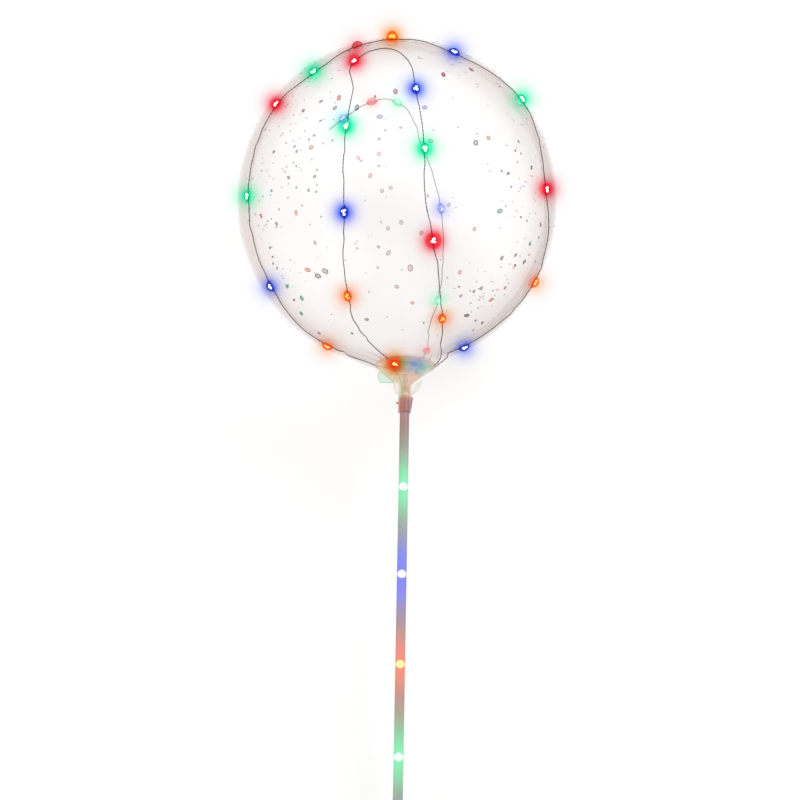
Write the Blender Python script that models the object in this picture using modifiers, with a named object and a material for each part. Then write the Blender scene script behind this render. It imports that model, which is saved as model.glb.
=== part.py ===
"""Light-up balloon: a clear film balloon in a clear cup on a tubular stick, wound with a lit bead string.

Metres, +Z up. The object lies on its back: the balloon's belly and the handle's lower edge touch the floor.
It is drawn in a frame of its own, with +Z along the stick towards the balloon, -Y the side that faces up,
and the cup's rim at Z = 0. One empty then lays that frame down, with the belly's flat spot at the origin.
"""

import math

import bmesh
import bpy
from mathutils import Matrix, Vector

# Balloon film
BALLOON_RADIUS = 0.189
BALLOON_HALF_HEIGHT = 0.1945
BALLOON_ABOVE_RIM = 0.0088
BALLOON_OFFSET = 0.013
BELLY_FLAT_DEPTH = 0.001
NECK_LATITUDE = -68.0
FILM_SLOPE_AT_LIP = 25.0
FILM_SHIFT_TOP = 0.014
FILM_SHIFT_BOTTOM = 0.0015
NECK_RADIUS = 0.0025
NECK_TOP_DEPTH = 0.0060
NECK_LENGTH = 0.024
FILM_SIDES = 40
FILM_RINGS = 20

# Cup
RIM_RADIUS = 0.0335
LIP_RADIUS = 0.0011
CUP_WALL = 0.0013
FUNNEL_DEPTH = 0.0215
STEM_RADIUS = 0.0070
SOCKET_RADIUS = 0.0074
SOCKET_TOP_DEPTH = 0.0340
SOCKET_BOTTOM_DEPTH = 0.0560
NOTCH_WIDTH = 0.0022
NOTCH_DEPTH = 0.0042
NOTCH_LENGTH = 0.0120
TAB_LENGTH = 0.0140
TAB_REACH = 0.0020
TAB_WIDTH = 0.0030
KNOB_RADIUS = 0.0016
KNOB_REACH = 0.0022
CUP_SIDES = 32

# Where the wire goes over the rim, in degrees round from -Y towards +X
NOTCHES = {"left": -92.0, "right": 101.0, "third": 84.0, "second": -38.0, "back": 155.0}

# Stick
STICK_RADIUS = 0.0055
STICK_WALL = 0.0010
STICK_TOP_DEPTH = 0.0370
STICK_SEEN_LENGTH = 0.5440
STICK_SIDES = 20

# Light string
WIRE_RADIUS = 0.00055
WIRE_STEP = 0.016
WIRE_ABOVE_FILM = 0.0006
WIRE_IN_BAY = 0.003
BEAD_LENGTH = 0.0092
BEAD_WIDTH = 0.0066
BEAD_HEIGHT = 0.0044
BEAD_PITCH = 0.100
BEAD_LEAD = 0.0008
FIRST_STICK_BEAD_DEPTH = 0.0445

# Battery handle
HANDLE_LENGTH = 0.100
HANDLE_WIDTH = 0.034
HANDLE_THICKNESS = 0.021
HANDLE_EDGE = 0.0025
COLLAR_RADIUS = 0.0085
COLLAR_LENGTH = 0.012
STICK_IN_HANDLE = 0.022
BAY_WALL = 0.0017
BAY_END_WALL = 0.0050
BAY_LENGTH = 0.072
COVER_THICKNESS = 0.0018
COVER_LEDGE = 0.0012
WIRE_HOLE_RADIUS = 0.0022
COVER_TAB_WIDTH = 0.010
COVER_TAB_REACH = 0.0010

# Clearances
CLEARANCE = 0.0003
TINY = 0.0001

COLOURS = {
    "red": (0.85, 0.03, 0.06),
    "green": (0.02, 0.65, 0.25),
    "blue": (0.06, 0.09, 0.80),
    "amber": (0.95, 0.40, 0.02),
}

# Places that follow from the sizes above
BALLOON_CENTRE = Vector((-BALLOON_OFFSET, 0.0, BALLOON_ABOVE_RIM + BALLOON_HALF_HEIGHT))
FUNNEL_TILT = math.atan2(FUNNEL_DEPTH, RIM_RADIUS - STEM_RADIUS)
SOCKET_BORE = STICK_RADIUS + CLEARANCE
STEM_BORE = STICK_RADIUS - CLEARANCE
STICK_BORE = STICK_RADIUS - STICK_WALL
HANDLE_TOP = -(SOCKET_BOTTOM_DEPTH + STICK_SEEN_LENGTH)
HANDLE_FACE = HANDLE_TOP - COLLAR_LENGTH
HANDLE_BOTTOM = HANDLE_FACE - HANDLE_LENGTH
STICK_BOTTOM = HANDLE_TOP - STICK_IN_HANDLE
BAY_TOP = HANDLE_BOTTOM + BAY_END_WALL + BAY_LENGTH
WIRE_LIFT = WIRE_RADIUS + WIRE_ABOVE_FILM
BEAD_GAP = BEAD_LENGTH / 2 + BEAD_LEAD
# Inside the stick the wire lies on the lower wall, so that a bead's base spans the bore
WIRE_SAG = math.sqrt((STICK_BORE - CLEARANCE) ** 2 - (BEAD_WIDTH / 2) ** 2) - WIRE_RADIUS - TINY


def clear_scene():
    for thing in list(bpy.data.objects):
        bpy.data.objects.remove(thing)


def new_collection(name):
    made = bpy.data.collections.new(name)
    bpy.context.scene.collection.children.link(made)
    return made


def material(name, colour, roughness, alpha=1.0, transmission=0.0):
    made = bpy.data.materials.new(name)
    made.use_nodes = True
    shader = made.node_tree.nodes["Principled BSDF"]
    shader.inputs["Base Color"].default_value = (*colour, 1.0)
    shader.inputs["Roughness"].default_value = roughness
    shader.inputs["Metallic"].default_value = 0.0
    shader.inputs["Alpha"].default_value = alpha
    shader.inputs["Transmission Weight"].default_value = transmission
    return made


def add_object(name, mesh, where, colour=None):
    """A new object of this mesh in the local frame, which the lying empty carries."""
    made = bpy.data.objects.new(name, mesh)
    where.objects.link(made)
    made.parent = lying
    if colour is not None:
        mesh.materials.append(colour)
    return made


def add_cutter(name, mesh):
    made = add_object(name, mesh, cutters)
    made.hide_render = True
    made.display_type = "WIRE"
    return made


def box_mesh(name, size, centre, turn=0.0):
    """A box of this size about this centre, turned about the stick's axis."""
    shape = bmesh.new()
    place = Matrix.Rotation(turn, 4, "Z") @ Matrix.Translation(centre)
    bmesh.ops.create_cube(shape, size=1.0, matrix=place @ Matrix.Diagonal((*size, 1.0)))
    mesh = bpy.data.meshes.new(name)
    shape.to_mesh(mesh)
    shape.free()
    return mesh


def rod_mesh(name, radius, start, end, sides):
    """A cylinder with its ends at these two points."""
    shape = bmesh.new()
    along = Vector(end) - Vector(start)
    middle = (Vector(end) + Vector(start)) / 2
    place = Matrix.Translation(middle) @ along.to_track_quat("Z", "Y").to_matrix().to_4x4()
    bmesh.ops.create_cone(
        shape,
        cap_ends=True,
        segments=sides,
        radius1=radius,
        radius2=radius,
        depth=along.length,
        matrix=place,
    )
    mesh = bpy.data.meshes.new(name)
    shape.to_mesh(mesh)
    shape.free()
    return mesh


def evaluated_mesh(thing, name):
    """The mesh of an object with its modifiers applied; the object itself is removed."""
    bpy.context.view_layer.update()
    seen = thing.evaluated_get(bpy.context.evaluated_depsgraph_get())
    mesh = bpy.data.meshes.new_from_object(seen)
    mesh.name = name
    bpy.data.objects.remove(thing)
    return mesh


def turned_mesh(name, outline, sides, closed):
    """Turns an outline of (radius, height) points about Z with a Screw modifier."""
    mesh = bpy.data.meshes.new(name + "_outline")
    points = [(radius, 0.0, height) for radius, height in outline]
    edges = [(i, i + 1) for i in range(len(points) - 1)]
    if closed:
        edges.append((len(points) - 1, 0))
    mesh.from_pydata(points, edges, [])
    lathe = bpy.data.objects.new(name + "_lathe", mesh)
    cutters.objects.link(lathe)
    screw = lathe.modifiers.new("turn", "SCREW")
    screw.axis = "Z"
    screw.angle = math.tau
    screw.steps = sides
    screw.render_steps = sides
    screw.use_merge_vertices = True
    screw.merge_threshold = 0.00001
    return evaluated_mesh(lathe, name)


def round_off(mesh, angle=35.0):
    mesh.shade_smooth()
    mesh.set_sharp_from_angle(angle=math.radians(angle))


def boolean(target, tool, operation):
    step = target.modifiers.new(tool.name, "BOOLEAN")
    step.operation = operation
    step.solver = "EXACT"
    step.object = tool


def soft_step(share):
    share = min(max(share, 0.0), 1.0)
    return share * share * (3.0 - 2.0 * share)


def film_shift(height):
    """The balloon sits to one side of the cup: how far its axis has moved over at this height."""
    share = (height - FILM_SHIFT_BOTTOM) / (FILM_SHIFT_TOP - FILM_SHIFT_BOTTOM)
    return -BALLOON_OFFSET * soft_step(share)


def bezier(corners, share):
    """A point on the cubic curve with these four (radius, height) corners."""
    back = 1.0 - share
    weights = (back**3, 3 * back**2 * share, 3 * back * share**2, share**3)
    return tuple(sum(w * c[axis] for w, c in zip(weights, corners)) for axis in (0, 1))


def body_outline_point(latitude):
    angle = math.radians(latitude)
    radius = BALLOON_RADIUS * math.cos(angle)
    height = BALLOON_CENTRE.z + BALLOON_HALF_HEIGHT * math.sin(angle)
    return radius, height


def lip_contact():
    """Where the film passes the cup's lip, one clearance away from it."""
    slope = math.radians(FILM_SLOPE_AT_LIP)
    away = LIP_RADIUS + CLEARANCE
    return RIM_RADIUS - away * math.sin(slope), away * math.cos(slope)


def shoulder_corners():
    """The curve from the round body down to the lip."""
    top = body_outline_point(NECK_LATITUDE)
    low = lip_contact()
    angle = math.radians(NECK_LATITUDE)
    slope = math.atan2(BALLOON_HALF_HEIGHT * math.cos(angle), -BALLOON_RADIUS * math.sin(angle))
    reach = math.hypot(top[0] - low[0], top[1] - low[1]) / 3
    end = math.radians(FILM_SLOPE_AT_LIP)
    after = (top[0] - reach * math.cos(slope), top[1] - reach * math.sin(slope))
    before = (low[0] + reach * math.cos(end), low[1] + reach * math.sin(end))
    return top, after, before, low


def mouth_corners():
    """The curve of the film across the cup's mouth, from the lip in to the neck."""
    start = lip_contact()
    end = math.radians(FILM_SLOPE_AT_LIP)
    reach = start[0] / 7
    after = (start[0] - reach * math.cos(end), start[1] - reach * math.sin(end))
    before = (NECK_RADIUS + start[0] / 3, -NECK_TOP_DEPTH / 5)
    return start, after, before, (NECK_RADIUS, -NECK_TOP_DEPTH)


def film_outline():
    """The balloon's outline from its crown to the end of its neck."""
    points = []
    for step in range(FILM_RINGS):
        points.append(body_outline_point(90.0 + (NECK_LATITUDE - 90.0) * step / FILM_RINGS))
    points[0] = (0.0, points[0][1])
    for step in range(4):
        points.append(bezier(shoulder_corners(), step / 4))
    for step in range(5):
        points.append(bezier(mouth_corners(), step / 4))
    points.append((NECK_RADIUS, -NECK_TOP_DEPTH - NECK_LENGTH))
    points.append((0.0, -NECK_TOP_DEPTH - NECK_LENGTH))
    return points


def outward(radial, rise):
    """The unit normal, to the right of a step (radial, rise) that runs down the outline."""
    length = math.hypot(radial, rise)
    return -rise / length, radial / length


def around(radius, height, azimuth):
    """A point at this azimuth, which is 0 towards -Y and grows towards +X."""
    angle = math.radians(azimuth)
    return Vector((radius * math.sin(angle), -radius * math.cos(angle), height))


def on_body(azimuth, latitude):
    """A wire point on the balloon's round body, with the film's normal there."""
    radius, height = body_outline_point(latitude)
    normal = around(radius / BALLOON_RADIUS**2, (height - BALLOON_CENTRE.z) / BALLOON_HALF_HEIGHT**2, azimuth)
    normal.normalize()
    point = around(radius, height, azimuth) + Vector((film_shift(height), 0.0, 0.0))
    return point + normal * WIRE_LIFT, normal


def under_body(azimuth, radius):
    """A wire point under the balloon, at this distance from the axis, with the film's normal there."""
    corners = mouth_corners() if radius < lip_contact()[0] else shoulder_corners()
    low, high = 0.0, 1.0
    for _ in range(30):
        share = (low + high) / 2
        if bezier(corners, share)[0] > radius:
            low = share
        else:
            high = share
    here = bezier(corners, low)
    there = bezier(corners, min(low + 0.01, 1.0))
    before = bezier(corners, max(low - 0.01, 0.0))
    side, rise = outward(there[0] - before[0], there[1] - before[1])
    normal = around(side, rise, azimuth)
    point = around(here[0], here[1], azimuth) + Vector((film_shift(here[1]), 0.0, 0.0))
    return point + normal * WIRE_LIFT, normal


def in_stick(depth):
    return Vector((0.0, WIRE_SAG, -depth)), Vector((0.0, -1.0, 0.0))


def in_stem(azimuth, depth):
    return around((NECK_RADIUS + STEM_BORE) / 2, -depth, azimuth), around(1.0, 0.0, azimuth)




def through_notch(name):
    """Three points that carry the wire straight through one notch, from outside the rim to inside it."""
    azimuth = NOTCHES[name]
    return [
        (under_body(azimuth, RIM_RADIUS * 1.22), None),
        (under_body(azimuth, lip_contact()[0]), None),
        (under_body(azimuth, RIM_RADIUS * 0.80), None),
    ]


def bare(*places):
    return [(place, None) for place in places]


def string_route():
    """The string from the handle to its end: a list of ((point, normal), bead colour or None)."""
    route = bare(in_stick(-BAY_TOP + WIRE_IN_BAY))
    stick_colours = ["red", "green", "blue", "amber", "green", "blue"]
    for number in reversed(range(len(stick_colours))):
        route.append((in_stick(FIRST_STICK_BEAD_DEPTH + number * BEAD_PITCH), stick_colours[number]))
    # Out of the stem and up the left side
    route += bare(in_stem(-92, STICK_TOP_DEPTH - 0.006), in_stem(-92, FUNNEL_DEPTH), under_body(-92, 0.015))
    route += reversed(through_notch("left"))
    route += [
        (under_body(-92, 0.053), None),
        (on_body(-92, -66), "amber"),
        (on_body(-84, -52), None),
        (on_body(-74, -39), "blue"),
        (on_body(-68, -22), None),
        (on_body(-64, -9), "green"),
        (on_body(-59, 6), None),
        (on_body(-51, 21), "red"),
        (on_body(-36, 31), "green"),
        (on_body(-21, 45), "red"),
        (on_body(-4, 50), "amber"),
        (on_body(12, 49), None),
        (on_body(26, 42), "blue"),
        (on_body(42, 36), None),
        (on_body(57, 28), "green"),
        (on_body(60, 11), None),
        (on_body(63, -5), "red"),
        (on_body(74, -18), None),
        (on_body(84, -32), "amber"),
        (on_body(87, -50), None),
        (on_body(92, -65), "blue"),
    ]
    # Round a hairpin in the cup and up the third strand
    route += through_notch("right")
    route += bare(under_body(93, 0.0185))
    route += reversed(through_notch("third"))
    route += [
        (under_body(58, 0.062), None),
        (on_body(35, -61), "amber"),
        (on_body(22, -47), None),
        (on_body(15, -34), "red"),
        (on_body(10, -20), None),
        (on_body(9, -5), "green"),
        (on_body(6, 17), "blue"),
        (on_body(4, 30), None),
        (on_body(-6, 40), None),
        (on_body(-18, 32), "red"),
        (on_body(-16, 18), None),
        (on_body(-17, 3), "green"),
        (on_body(-18, -11), None),
        (on_body(-19, -25), "blue"),
        (on_body(-23, -40), None),
        (on_body(-27, -53), "amber"),
        (on_body(-33, -66), None),
    ]
    # Across the cup, with four beads in it, and up the back
    route += through_notch("second")
    route += [
        (under_body(-34, 0.0215), "red"),
        (under_body(-4, 0.0210), "green"),
        (under_body(28, 0.0205), "blue"),
        (under_body(66, 0.0195), "green"),
        (under_body(96, 0.0125), None),
        (under_body(128, 0.0165), None),
    ]
    route += reversed(through_notch("back"))
    route += [
        (on_body(160, -62), None),
        (on_body(163, -46), "red"),
        (on_body(165, -30), None),
        (on_body(163, -17), "green"),
        (on_body(162, 2), None),
        (on_body(162, 20), "blue"),
        (on_body(167, 43), None),
        (on_body(-178, 63), "green"),
        (on_body(-157, 62), "red"),
        (on_body(-143, 52), "blue"),
        (on_body(-138, 46), None),
    ]
    return route


def with_bead_ends(route):
    """Gives each bead two wire points, one at each end, so that the wire runs straight through it."""
    points = [Vector(place[0]) for place, _ in route]
    stops = []
    beads = []
    for i, ((point, normal), colour) in enumerate(route):
        before = points[max(i - 1, 0)]
        after = points[min(i + 1, len(points) - 1)]
        heading = (point - before).normalized() + (after - point).normalized()
        if colour is None:
            stops.append((Vector(point), heading.normalized()))
            continue
        heading = (heading - normal * heading.dot(normal)).normalized()
        stops.append((point - heading * BEAD_GAP, heading))
        stops.append((point + heading * BEAD_GAP, heading))
        beads.append((colour, Vector(point), heading, normal))
    return stops, beads


def smooth_path(stops):
    """Points along a smooth curve through the stops, about one wire step apart."""
    path = []
    for (start, leaving), (end, arriving) in zip(stops, stops[1:]):
        reach = (end - start).length
        count = max(1, round(reach / WIRE_STEP))
        for i in range(count):
            t = i / count
            path.append(
                start * (2 * t**3 - 3 * t**2 + 1)
                + leaving * reach * (t**3 - 2 * t**2 + t)
                + end * (3 * t**2 - 2 * t**3)
                + arriving * reach * (t**3 - t**2)
            )
    path.append(stops[-1][0])
    return path


def lying_angle():
    """How far the stick's axis rises from the floor when belly and handle both touch it."""
    reach = BALLOON_CENTRE.z - HANDLE_BOTTOM - HANDLE_EDGE
    rise = 0.0
    for _ in range(20):
        support = math.hypot(BALLOON_RADIUS * math.cos(rise), BALLOON_HALF_HEIGHT * math.sin(rise))
        drop = support - BELLY_FLAT_DEPTH - HANDLE_THICKNESS / 2 * math.cos(rise)
        rise = math.asin(drop / reach)
    return rise


def belly():
    """The centre of the belly's flat spot and the direction that points down when the object lies."""
    rise = lying_angle()
    down = Vector((0.0, math.cos(rise), -math.sin(rise)))
    stretch = Vector((BALLOON_RADIUS**2, BALLOON_RADIUS**2, BALLOON_HALF_HEIGHT**2))
    support = math.hypot(BALLOON_RADIUS * down.y, BALLOON_HALF_HEIGHT * down.z)
    touch = Vector((stretch.x * down.x, stretch.y * down.y, stretch.z * down.z)) / support
    return BALLOON_CENTRE + touch * (1.0 - BELLY_FLAT_DEPTH / support), down


def lay_down():
    """Turns and lifts the local frame so that the belly's flat spot is at the origin."""
    spot, _ = belly()
    turn = Matrix.Rotation(lying_angle() - math.pi / 2, 4, "X")
    lying.matrix_world = turn @ Matrix.Translation(-spot)


def make_balloon():
    """The film balloon, solid because it is sealed, with its neck in the cup's stem."""
    mesh = turned_mesh("balloon", film_outline(), FILM_SIDES, closed=False)
    for point in mesh.vertices:
        point.co.x += film_shift(point.co.z)
    spot, down = belly()
    shape = bmesh.new()
    shape.from_mesh(mesh)
    bmesh.ops.remove_doubles(shape, verts=shape.verts, dist=TINY / 10)
    every = shape.verts[:] + shape.edges[:] + shape.faces[:]
    cut = bmesh.ops.bisect_plane(shape, geom=every, plane_co=spot, plane_no=down, clear_outer=True)
    rim = [part for part in cut["geom_cut"] if isinstance(part, bmesh.types.BMEdge)]
    bmesh.ops.contextual_create(shape, geom=rim)
    bmesh.ops.recalc_face_normals(shape, faces=shape.faces)
    shape.to_mesh(mesh)
    shape.free()
    round_off(mesh)
    add_object("balloon", mesh, parts, material("clear_film", (0.93, 0.90, 0.90), 0.03, 0.25, 0.6))


def funnel_line(radius, side):
    """A point on the funnel's wall at this radius: side +1 is the outer face and -1 the inner face."""
    middle = -(RIM_RADIUS - radius) * math.tan(FUNNEL_TILT)
    return radius, middle - side * CUP_WALL / 2 / math.cos(FUNNEL_TILT)


def cup_outline():
    """The cup's wall in section: round the lip, down the outside and back up the inside."""
    half = math.degrees(math.asin(CUP_WALL / 2 / LIP_RADIUS))
    inner_meets = 180 + math.degrees(FUNNEL_TILT) - half
    outer_meets = math.degrees(FUNNEL_TILT) - 180 + half
    steps = 6
    points = []
    for step in range(steps + 1):
        angle = math.radians(inner_meets + (outer_meets - inner_meets) * step / steps)
        points.append((RIM_RADIUS + LIP_RADIUS * math.cos(angle), LIP_RADIUS * math.sin(angle)))
    points.append(funnel_line(STEM_RADIUS, 1))
    points.append((STEM_RADIUS, -SOCKET_TOP_DEPTH))
    points.append((SOCKET_RADIUS, -SOCKET_TOP_DEPTH - (SOCKET_RADIUS - STEM_RADIUS)))
    points.append((SOCKET_RADIUS, -SOCKET_BOTTOM_DEPTH))
    points.append((SOCKET_BORE, -SOCKET_BOTTOM_DEPTH))
    points.append((SOCKET_BORE, -STICK_TOP_DEPTH + CLEARANCE))
    points.append((STEM_BORE, -STICK_TOP_DEPTH + CLEARANCE))
    points.append(funnel_line(STEM_BORE, -1))
    return points


def make_cup():
    """The funnel cup with its stem and socket in one moulding, with rim notches, a side tab and a knob."""
    mesh = turned_mesh("cup", cup_outline(), CUP_SIDES, closed=True)
    cup = add_object("cup", mesh, parts, material("clear_cup", (0.92, 0.88, 0.86), 0.12, 0.5, 0.5))
    middle = -(SOCKET_TOP_DEPTH + SOCKET_BOTTOM_DEPTH) / 2
    wall = SOCKET_RADIUS - SOCKET_BORE
    tab = box_mesh("tab", (TAB_REACH + wall / 2, TAB_WIDTH, TAB_LENGTH), (0.0, 0.0, 0.0))
    for point in tab.vertices:
        if point.co.x > 0 > point.co.z:
            point.co.x -= TAB_REACH * 0.8
    tab_tool = add_cutter("cup_tab", tab)
    tab_tool.location = (SOCKET_RADIUS + TAB_REACH / 2 - wall / 4, 0.0, middle)
    boolean(cup, tab_tool, "UNION")
    start = (-SOCKET_RADIUS + wall / 2, 0.0, middle)
    end = (-SOCKET_RADIUS - KNOB_REACH, 0.0, middle)
    boolean(cup, add_cutter("cup_knob", rod_mesh("knob", KNOB_RADIUS, start, end, 10)), "UNION")
    outer = RIM_RADIUS + 2 * LIP_RADIUS
    size = (NOTCH_WIDTH, NOTCH_LENGTH, NOTCH_DEPTH * 2)
    centre = (0.0, -outer + NOTCH_LENGTH / 2, 0.0)
    for name, azimuth in NOTCHES.items():
        tool = box_mesh("notch", size, centre, math.radians(azimuth))
        boolean(cup, add_cutter("notch_" + name, tool), "DIFFERENCE")


def make_stick():
    """The frosted tube between the cup's socket and the handle's collar."""
    outline = [
        (STICK_RADIUS, -STICK_TOP_DEPTH),
        (STICK_RADIUS, STICK_BOTTOM),
        (STICK_BORE, STICK_BOTTOM),
        (STICK_BORE, -STICK_TOP_DEPTH),
    ]
    mesh = turned_mesh("stick", outline, STICK_SIDES, closed=True)
    round_off(mesh)
    add_object("stick", mesh, parts, material("frosted_tube", (0.80, 0.76, 0.76), 0.45, 1.0, 0.3))


def make_handle():
    """The battery handle: a rounded box with a collar for the stick and an open bay for two cells."""
    middle = (HANDLE_FACE + HANDLE_BOTTOM) / 2
    mesh = box_mesh("handle", (HANDLE_WIDTH, HANDLE_THICKNESS, HANDLE_LENGTH), (0.0, 0.0, middle))
    white = material("handle_plastic", (0.86, 0.86, 0.85), 0.35)
    handle = add_object("battery_handle", mesh, parts, white)
    edges = handle.modifiers.new("edges", "BEVEL")
    edges.width = HANDLE_EDGE
    edges.segments = 2
    collar = rod_mesh(
        "collar", COLLAR_RADIUS, (0.0, 0.0, HANDLE_TOP), (0.0, 0.0, HANDLE_FACE - HANDLE_EDGE * 2), 20
    )
    boolean(handle, add_cutter("handle_collar", collar), "UNION")
    seat = rod_mesh(
        "seat",
        STICK_RADIUS + CLEARANCE,
        (0.0, 0.0, HANDLE_TOP + HANDLE_EDGE),
        (0.0, 0.0, STICK_BOTTOM - CLEARANCE),
        STICK_SIDES,
    )
    boolean(handle, add_cutter("handle_seat", seat), "DIFFERENCE")
    centre_z = bay_centre()
    depth = HANDLE_THICKNESS - BAY_WALL
    bay = box_mesh(
        "bay",
        (HANDLE_WIDTH - 2 * BAY_WALL - 2 * COVER_LEDGE, depth, BAY_LENGTH),
        (0.0, -HANDLE_THICKNESS / 2 + depth / 2 - TINY, centre_z),
    )
    boolean(handle, add_cutter("handle_bay", bay), "DIFFERENCE")
    boolean(handle, add_cutter("handle_recess", recess_mesh()), "DIFFERENCE")
    hole = rod_mesh(
        "wire_hole",
        WIRE_HOLE_RADIUS,
        (0.0, WIRE_SAG, STICK_BOTTOM + HANDLE_EDGE),
        (0.0, WIRE_SAG, centre_z + BAY_LENGTH / 2 - BAY_WALL),
        10,
    )
    boolean(handle, add_cutter("handle_wire_hole", hole), "DIFFERENCE")


def bay_centre():
    return HANDLE_BOTTOM + BAY_END_WALL + BAY_LENGTH / 2


def recess_mesh():
    """The shallow step round the bay that the cover sits in."""
    size = (
        HANDLE_WIDTH - 2 * BAY_WALL,
        COVER_THICKNESS + CLEARANCE + HANDLE_EDGE,
        BAY_LENGTH + 2 * COVER_LEDGE,
    )
    low = -HANDLE_THICKNESS / 2 + COVER_THICKNESS + CLEARANCE
    return box_mesh("recess", size, (0.0, low - size[1] / 2, bay_centre()))


def make_cover():
    """The battery cover, a plate that lies in the recess, with a raised finger tab at its upper end."""
    size = (
        HANDLE_WIDTH - 2 * BAY_WALL - 2 * CLEARANCE,
        COVER_THICKNESS,
        BAY_LENGTH + 2 * COVER_LEDGE - 2 * CLEARANCE,
    )
    place = (0.0, -HANDLE_THICKNESS / 2 + COVER_THICKNESS / 2, bay_centre())
    plate = add_object(
        "battery_cover",
        box_mesh("cover", size, place),
        parts,
        material("cover_plastic", (0.84, 0.84, 0.83), 0.35),
    )
    edges = plate.modifiers.new("edges", "BEVEL")
    edges.width = COVER_THICKNESS / 4
    edges.segments = 1
    tab_height = COVER_TAB_REACH + COVER_THICKNESS / 2
    tab = box_mesh(
        "finger_tab",
        (COVER_TAB_WIDTH, tab_height, COVER_TAB_WIDTH / 4),
        (0.0, place[1] - tab_height / 2, bay_centre() + BAY_LENGTH / 2 - COVER_TAB_WIDTH / 2),
    )
    boolean(plate, add_cutter("cover_tab", tab), "UNION")


def make_wire(path):
    """The thin two-core wire, one tube along the whole route."""
    curve = bpy.data.curves.new("string_wire", "CURVE")
    curve.dimensions = "3D"
    curve.bevel_depth = WIRE_RADIUS
    curve.bevel_resolution = 1
    curve.use_fill_caps = True
    line = curve.splines.new("POLY")
    line.points.add(len(path) - 1)
    for spot, place in zip(line.points, path):
        spot.co = (*place, 1.0)
    curve.materials.append(material("wire_coat", (0.35, 0.31, 0.32), 0.4))
    wire = bpy.data.objects.new("string_wire", curve)
    parts.objects.link(wire)
    wire.parent = lying


def bead_shape():
    """A resin drop with a flat base and a groove for the wire, lying along X with its dome to +Z."""
    shape = bmesh.new()
    bmesh.ops.create_uvsphere(shape, u_segments=12, v_segments=6, radius=1.0)
    stretch = (BEAD_LENGTH / 2, BEAD_WIDTH / 2, BEAD_HEIGHT)
    bmesh.ops.scale(shape, vec=stretch, verts=shape.verts)
    lower = [point for point in shape.verts if point.co.z < -TINY]
    bmesh.ops.delete(shape, geom=lower, context="VERTS")
    edge = [part for part in shape.edges if part.is_boundary]
    bmesh.ops.contextual_create(shape, geom=edge)
    bmesh.ops.recalc_face_normals(shape, faces=shape.faces)
    bmesh.ops.translate(shape, vec=(0.0, 0.0, -WIRE_RADIUS), verts=shape.verts)
    mesh = bpy.data.meshes.new("bead_dome")
    shape.to_mesh(mesh)
    shape.free()
    dome = bpy.data.objects.new("bead_dome", mesh)
    cutters.objects.link(dome)
    half = WIRE_RADIUS + CLEARANCE
    size = (BEAD_LENGTH * 1.2, 2 * half, 2 * half)
    groove = bpy.data.objects.new("bead_groove", box_mesh("groove", size, (0.0, 0.0, 0.0)))
    cutters.objects.link(groove)
    boolean(dome, groove, "DIFFERENCE")
    bead = evaluated_mesh(dome, "bead")
    bpy.data.objects.remove(groove)
    round_off(bead, 50.0)
    return bead


def make_beads(beads):
    """One resin bead at each place along the string; the beads share one mesh and take their own colour."""
    shape = bead_shape()
    resins = {}
    for colour, shade in COLOURS.items():
        resins[colour] = material(colour + "_resin", shade, 0.1, 1.0, 0.4)
    shape.materials.append(resins["red"])
    for number, (colour, place, heading, normal) in enumerate(beads, 1):
        bead = bpy.data.objects.new(f"bead_{number:02d}_{colour}", shape)
        parts.objects.link(bead)
        bead.parent = lying
        side = normal.cross(heading)
        turn = Matrix((heading, side, normal)).transposed().to_4x4()
        bead.matrix_local = Matrix.Translation(place) @ turn
        bead.material_slots[0].link = "OBJECT"
        bead.material_slots[0].material = resins[colour]


clear_scene()
parts = new_collection("light_up_balloon")
cutters = new_collection("cutters")
lying = bpy.data.objects.new("lying_frame", None)
parts.objects.link(lying)
lay_down()
make_balloon()
make_cup()
make_stick()
make_handle()
make_cover()
wire_stops, bead_places = with_bead_ends(string_route())
make_wire(smooth_path(wire_stops))
make_beads(bead_places)
bpy.context.view_layer.update()
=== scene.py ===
import math
import random

import bpy
import numpy as np
from mathutils import Matrix, Vector


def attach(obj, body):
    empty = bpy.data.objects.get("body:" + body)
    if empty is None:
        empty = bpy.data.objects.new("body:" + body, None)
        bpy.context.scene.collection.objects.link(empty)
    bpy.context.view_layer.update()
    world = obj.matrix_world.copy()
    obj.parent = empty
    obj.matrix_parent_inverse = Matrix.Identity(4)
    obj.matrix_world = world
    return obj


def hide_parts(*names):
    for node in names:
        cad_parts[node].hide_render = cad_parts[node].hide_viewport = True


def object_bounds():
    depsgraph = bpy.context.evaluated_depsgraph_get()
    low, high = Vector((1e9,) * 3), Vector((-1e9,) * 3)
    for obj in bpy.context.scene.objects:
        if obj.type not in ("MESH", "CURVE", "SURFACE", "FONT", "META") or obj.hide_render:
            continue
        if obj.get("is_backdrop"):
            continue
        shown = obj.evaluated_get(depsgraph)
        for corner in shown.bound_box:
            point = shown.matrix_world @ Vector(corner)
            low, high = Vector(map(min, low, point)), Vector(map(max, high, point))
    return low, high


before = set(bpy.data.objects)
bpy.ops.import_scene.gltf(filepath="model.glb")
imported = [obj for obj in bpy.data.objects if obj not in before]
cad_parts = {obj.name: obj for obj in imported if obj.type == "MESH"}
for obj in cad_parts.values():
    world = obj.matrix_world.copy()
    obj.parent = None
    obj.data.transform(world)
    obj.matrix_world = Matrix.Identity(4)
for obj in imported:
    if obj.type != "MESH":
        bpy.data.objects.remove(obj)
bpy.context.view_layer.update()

bpy.ops.object.select_all(action="DESELECT")

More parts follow.
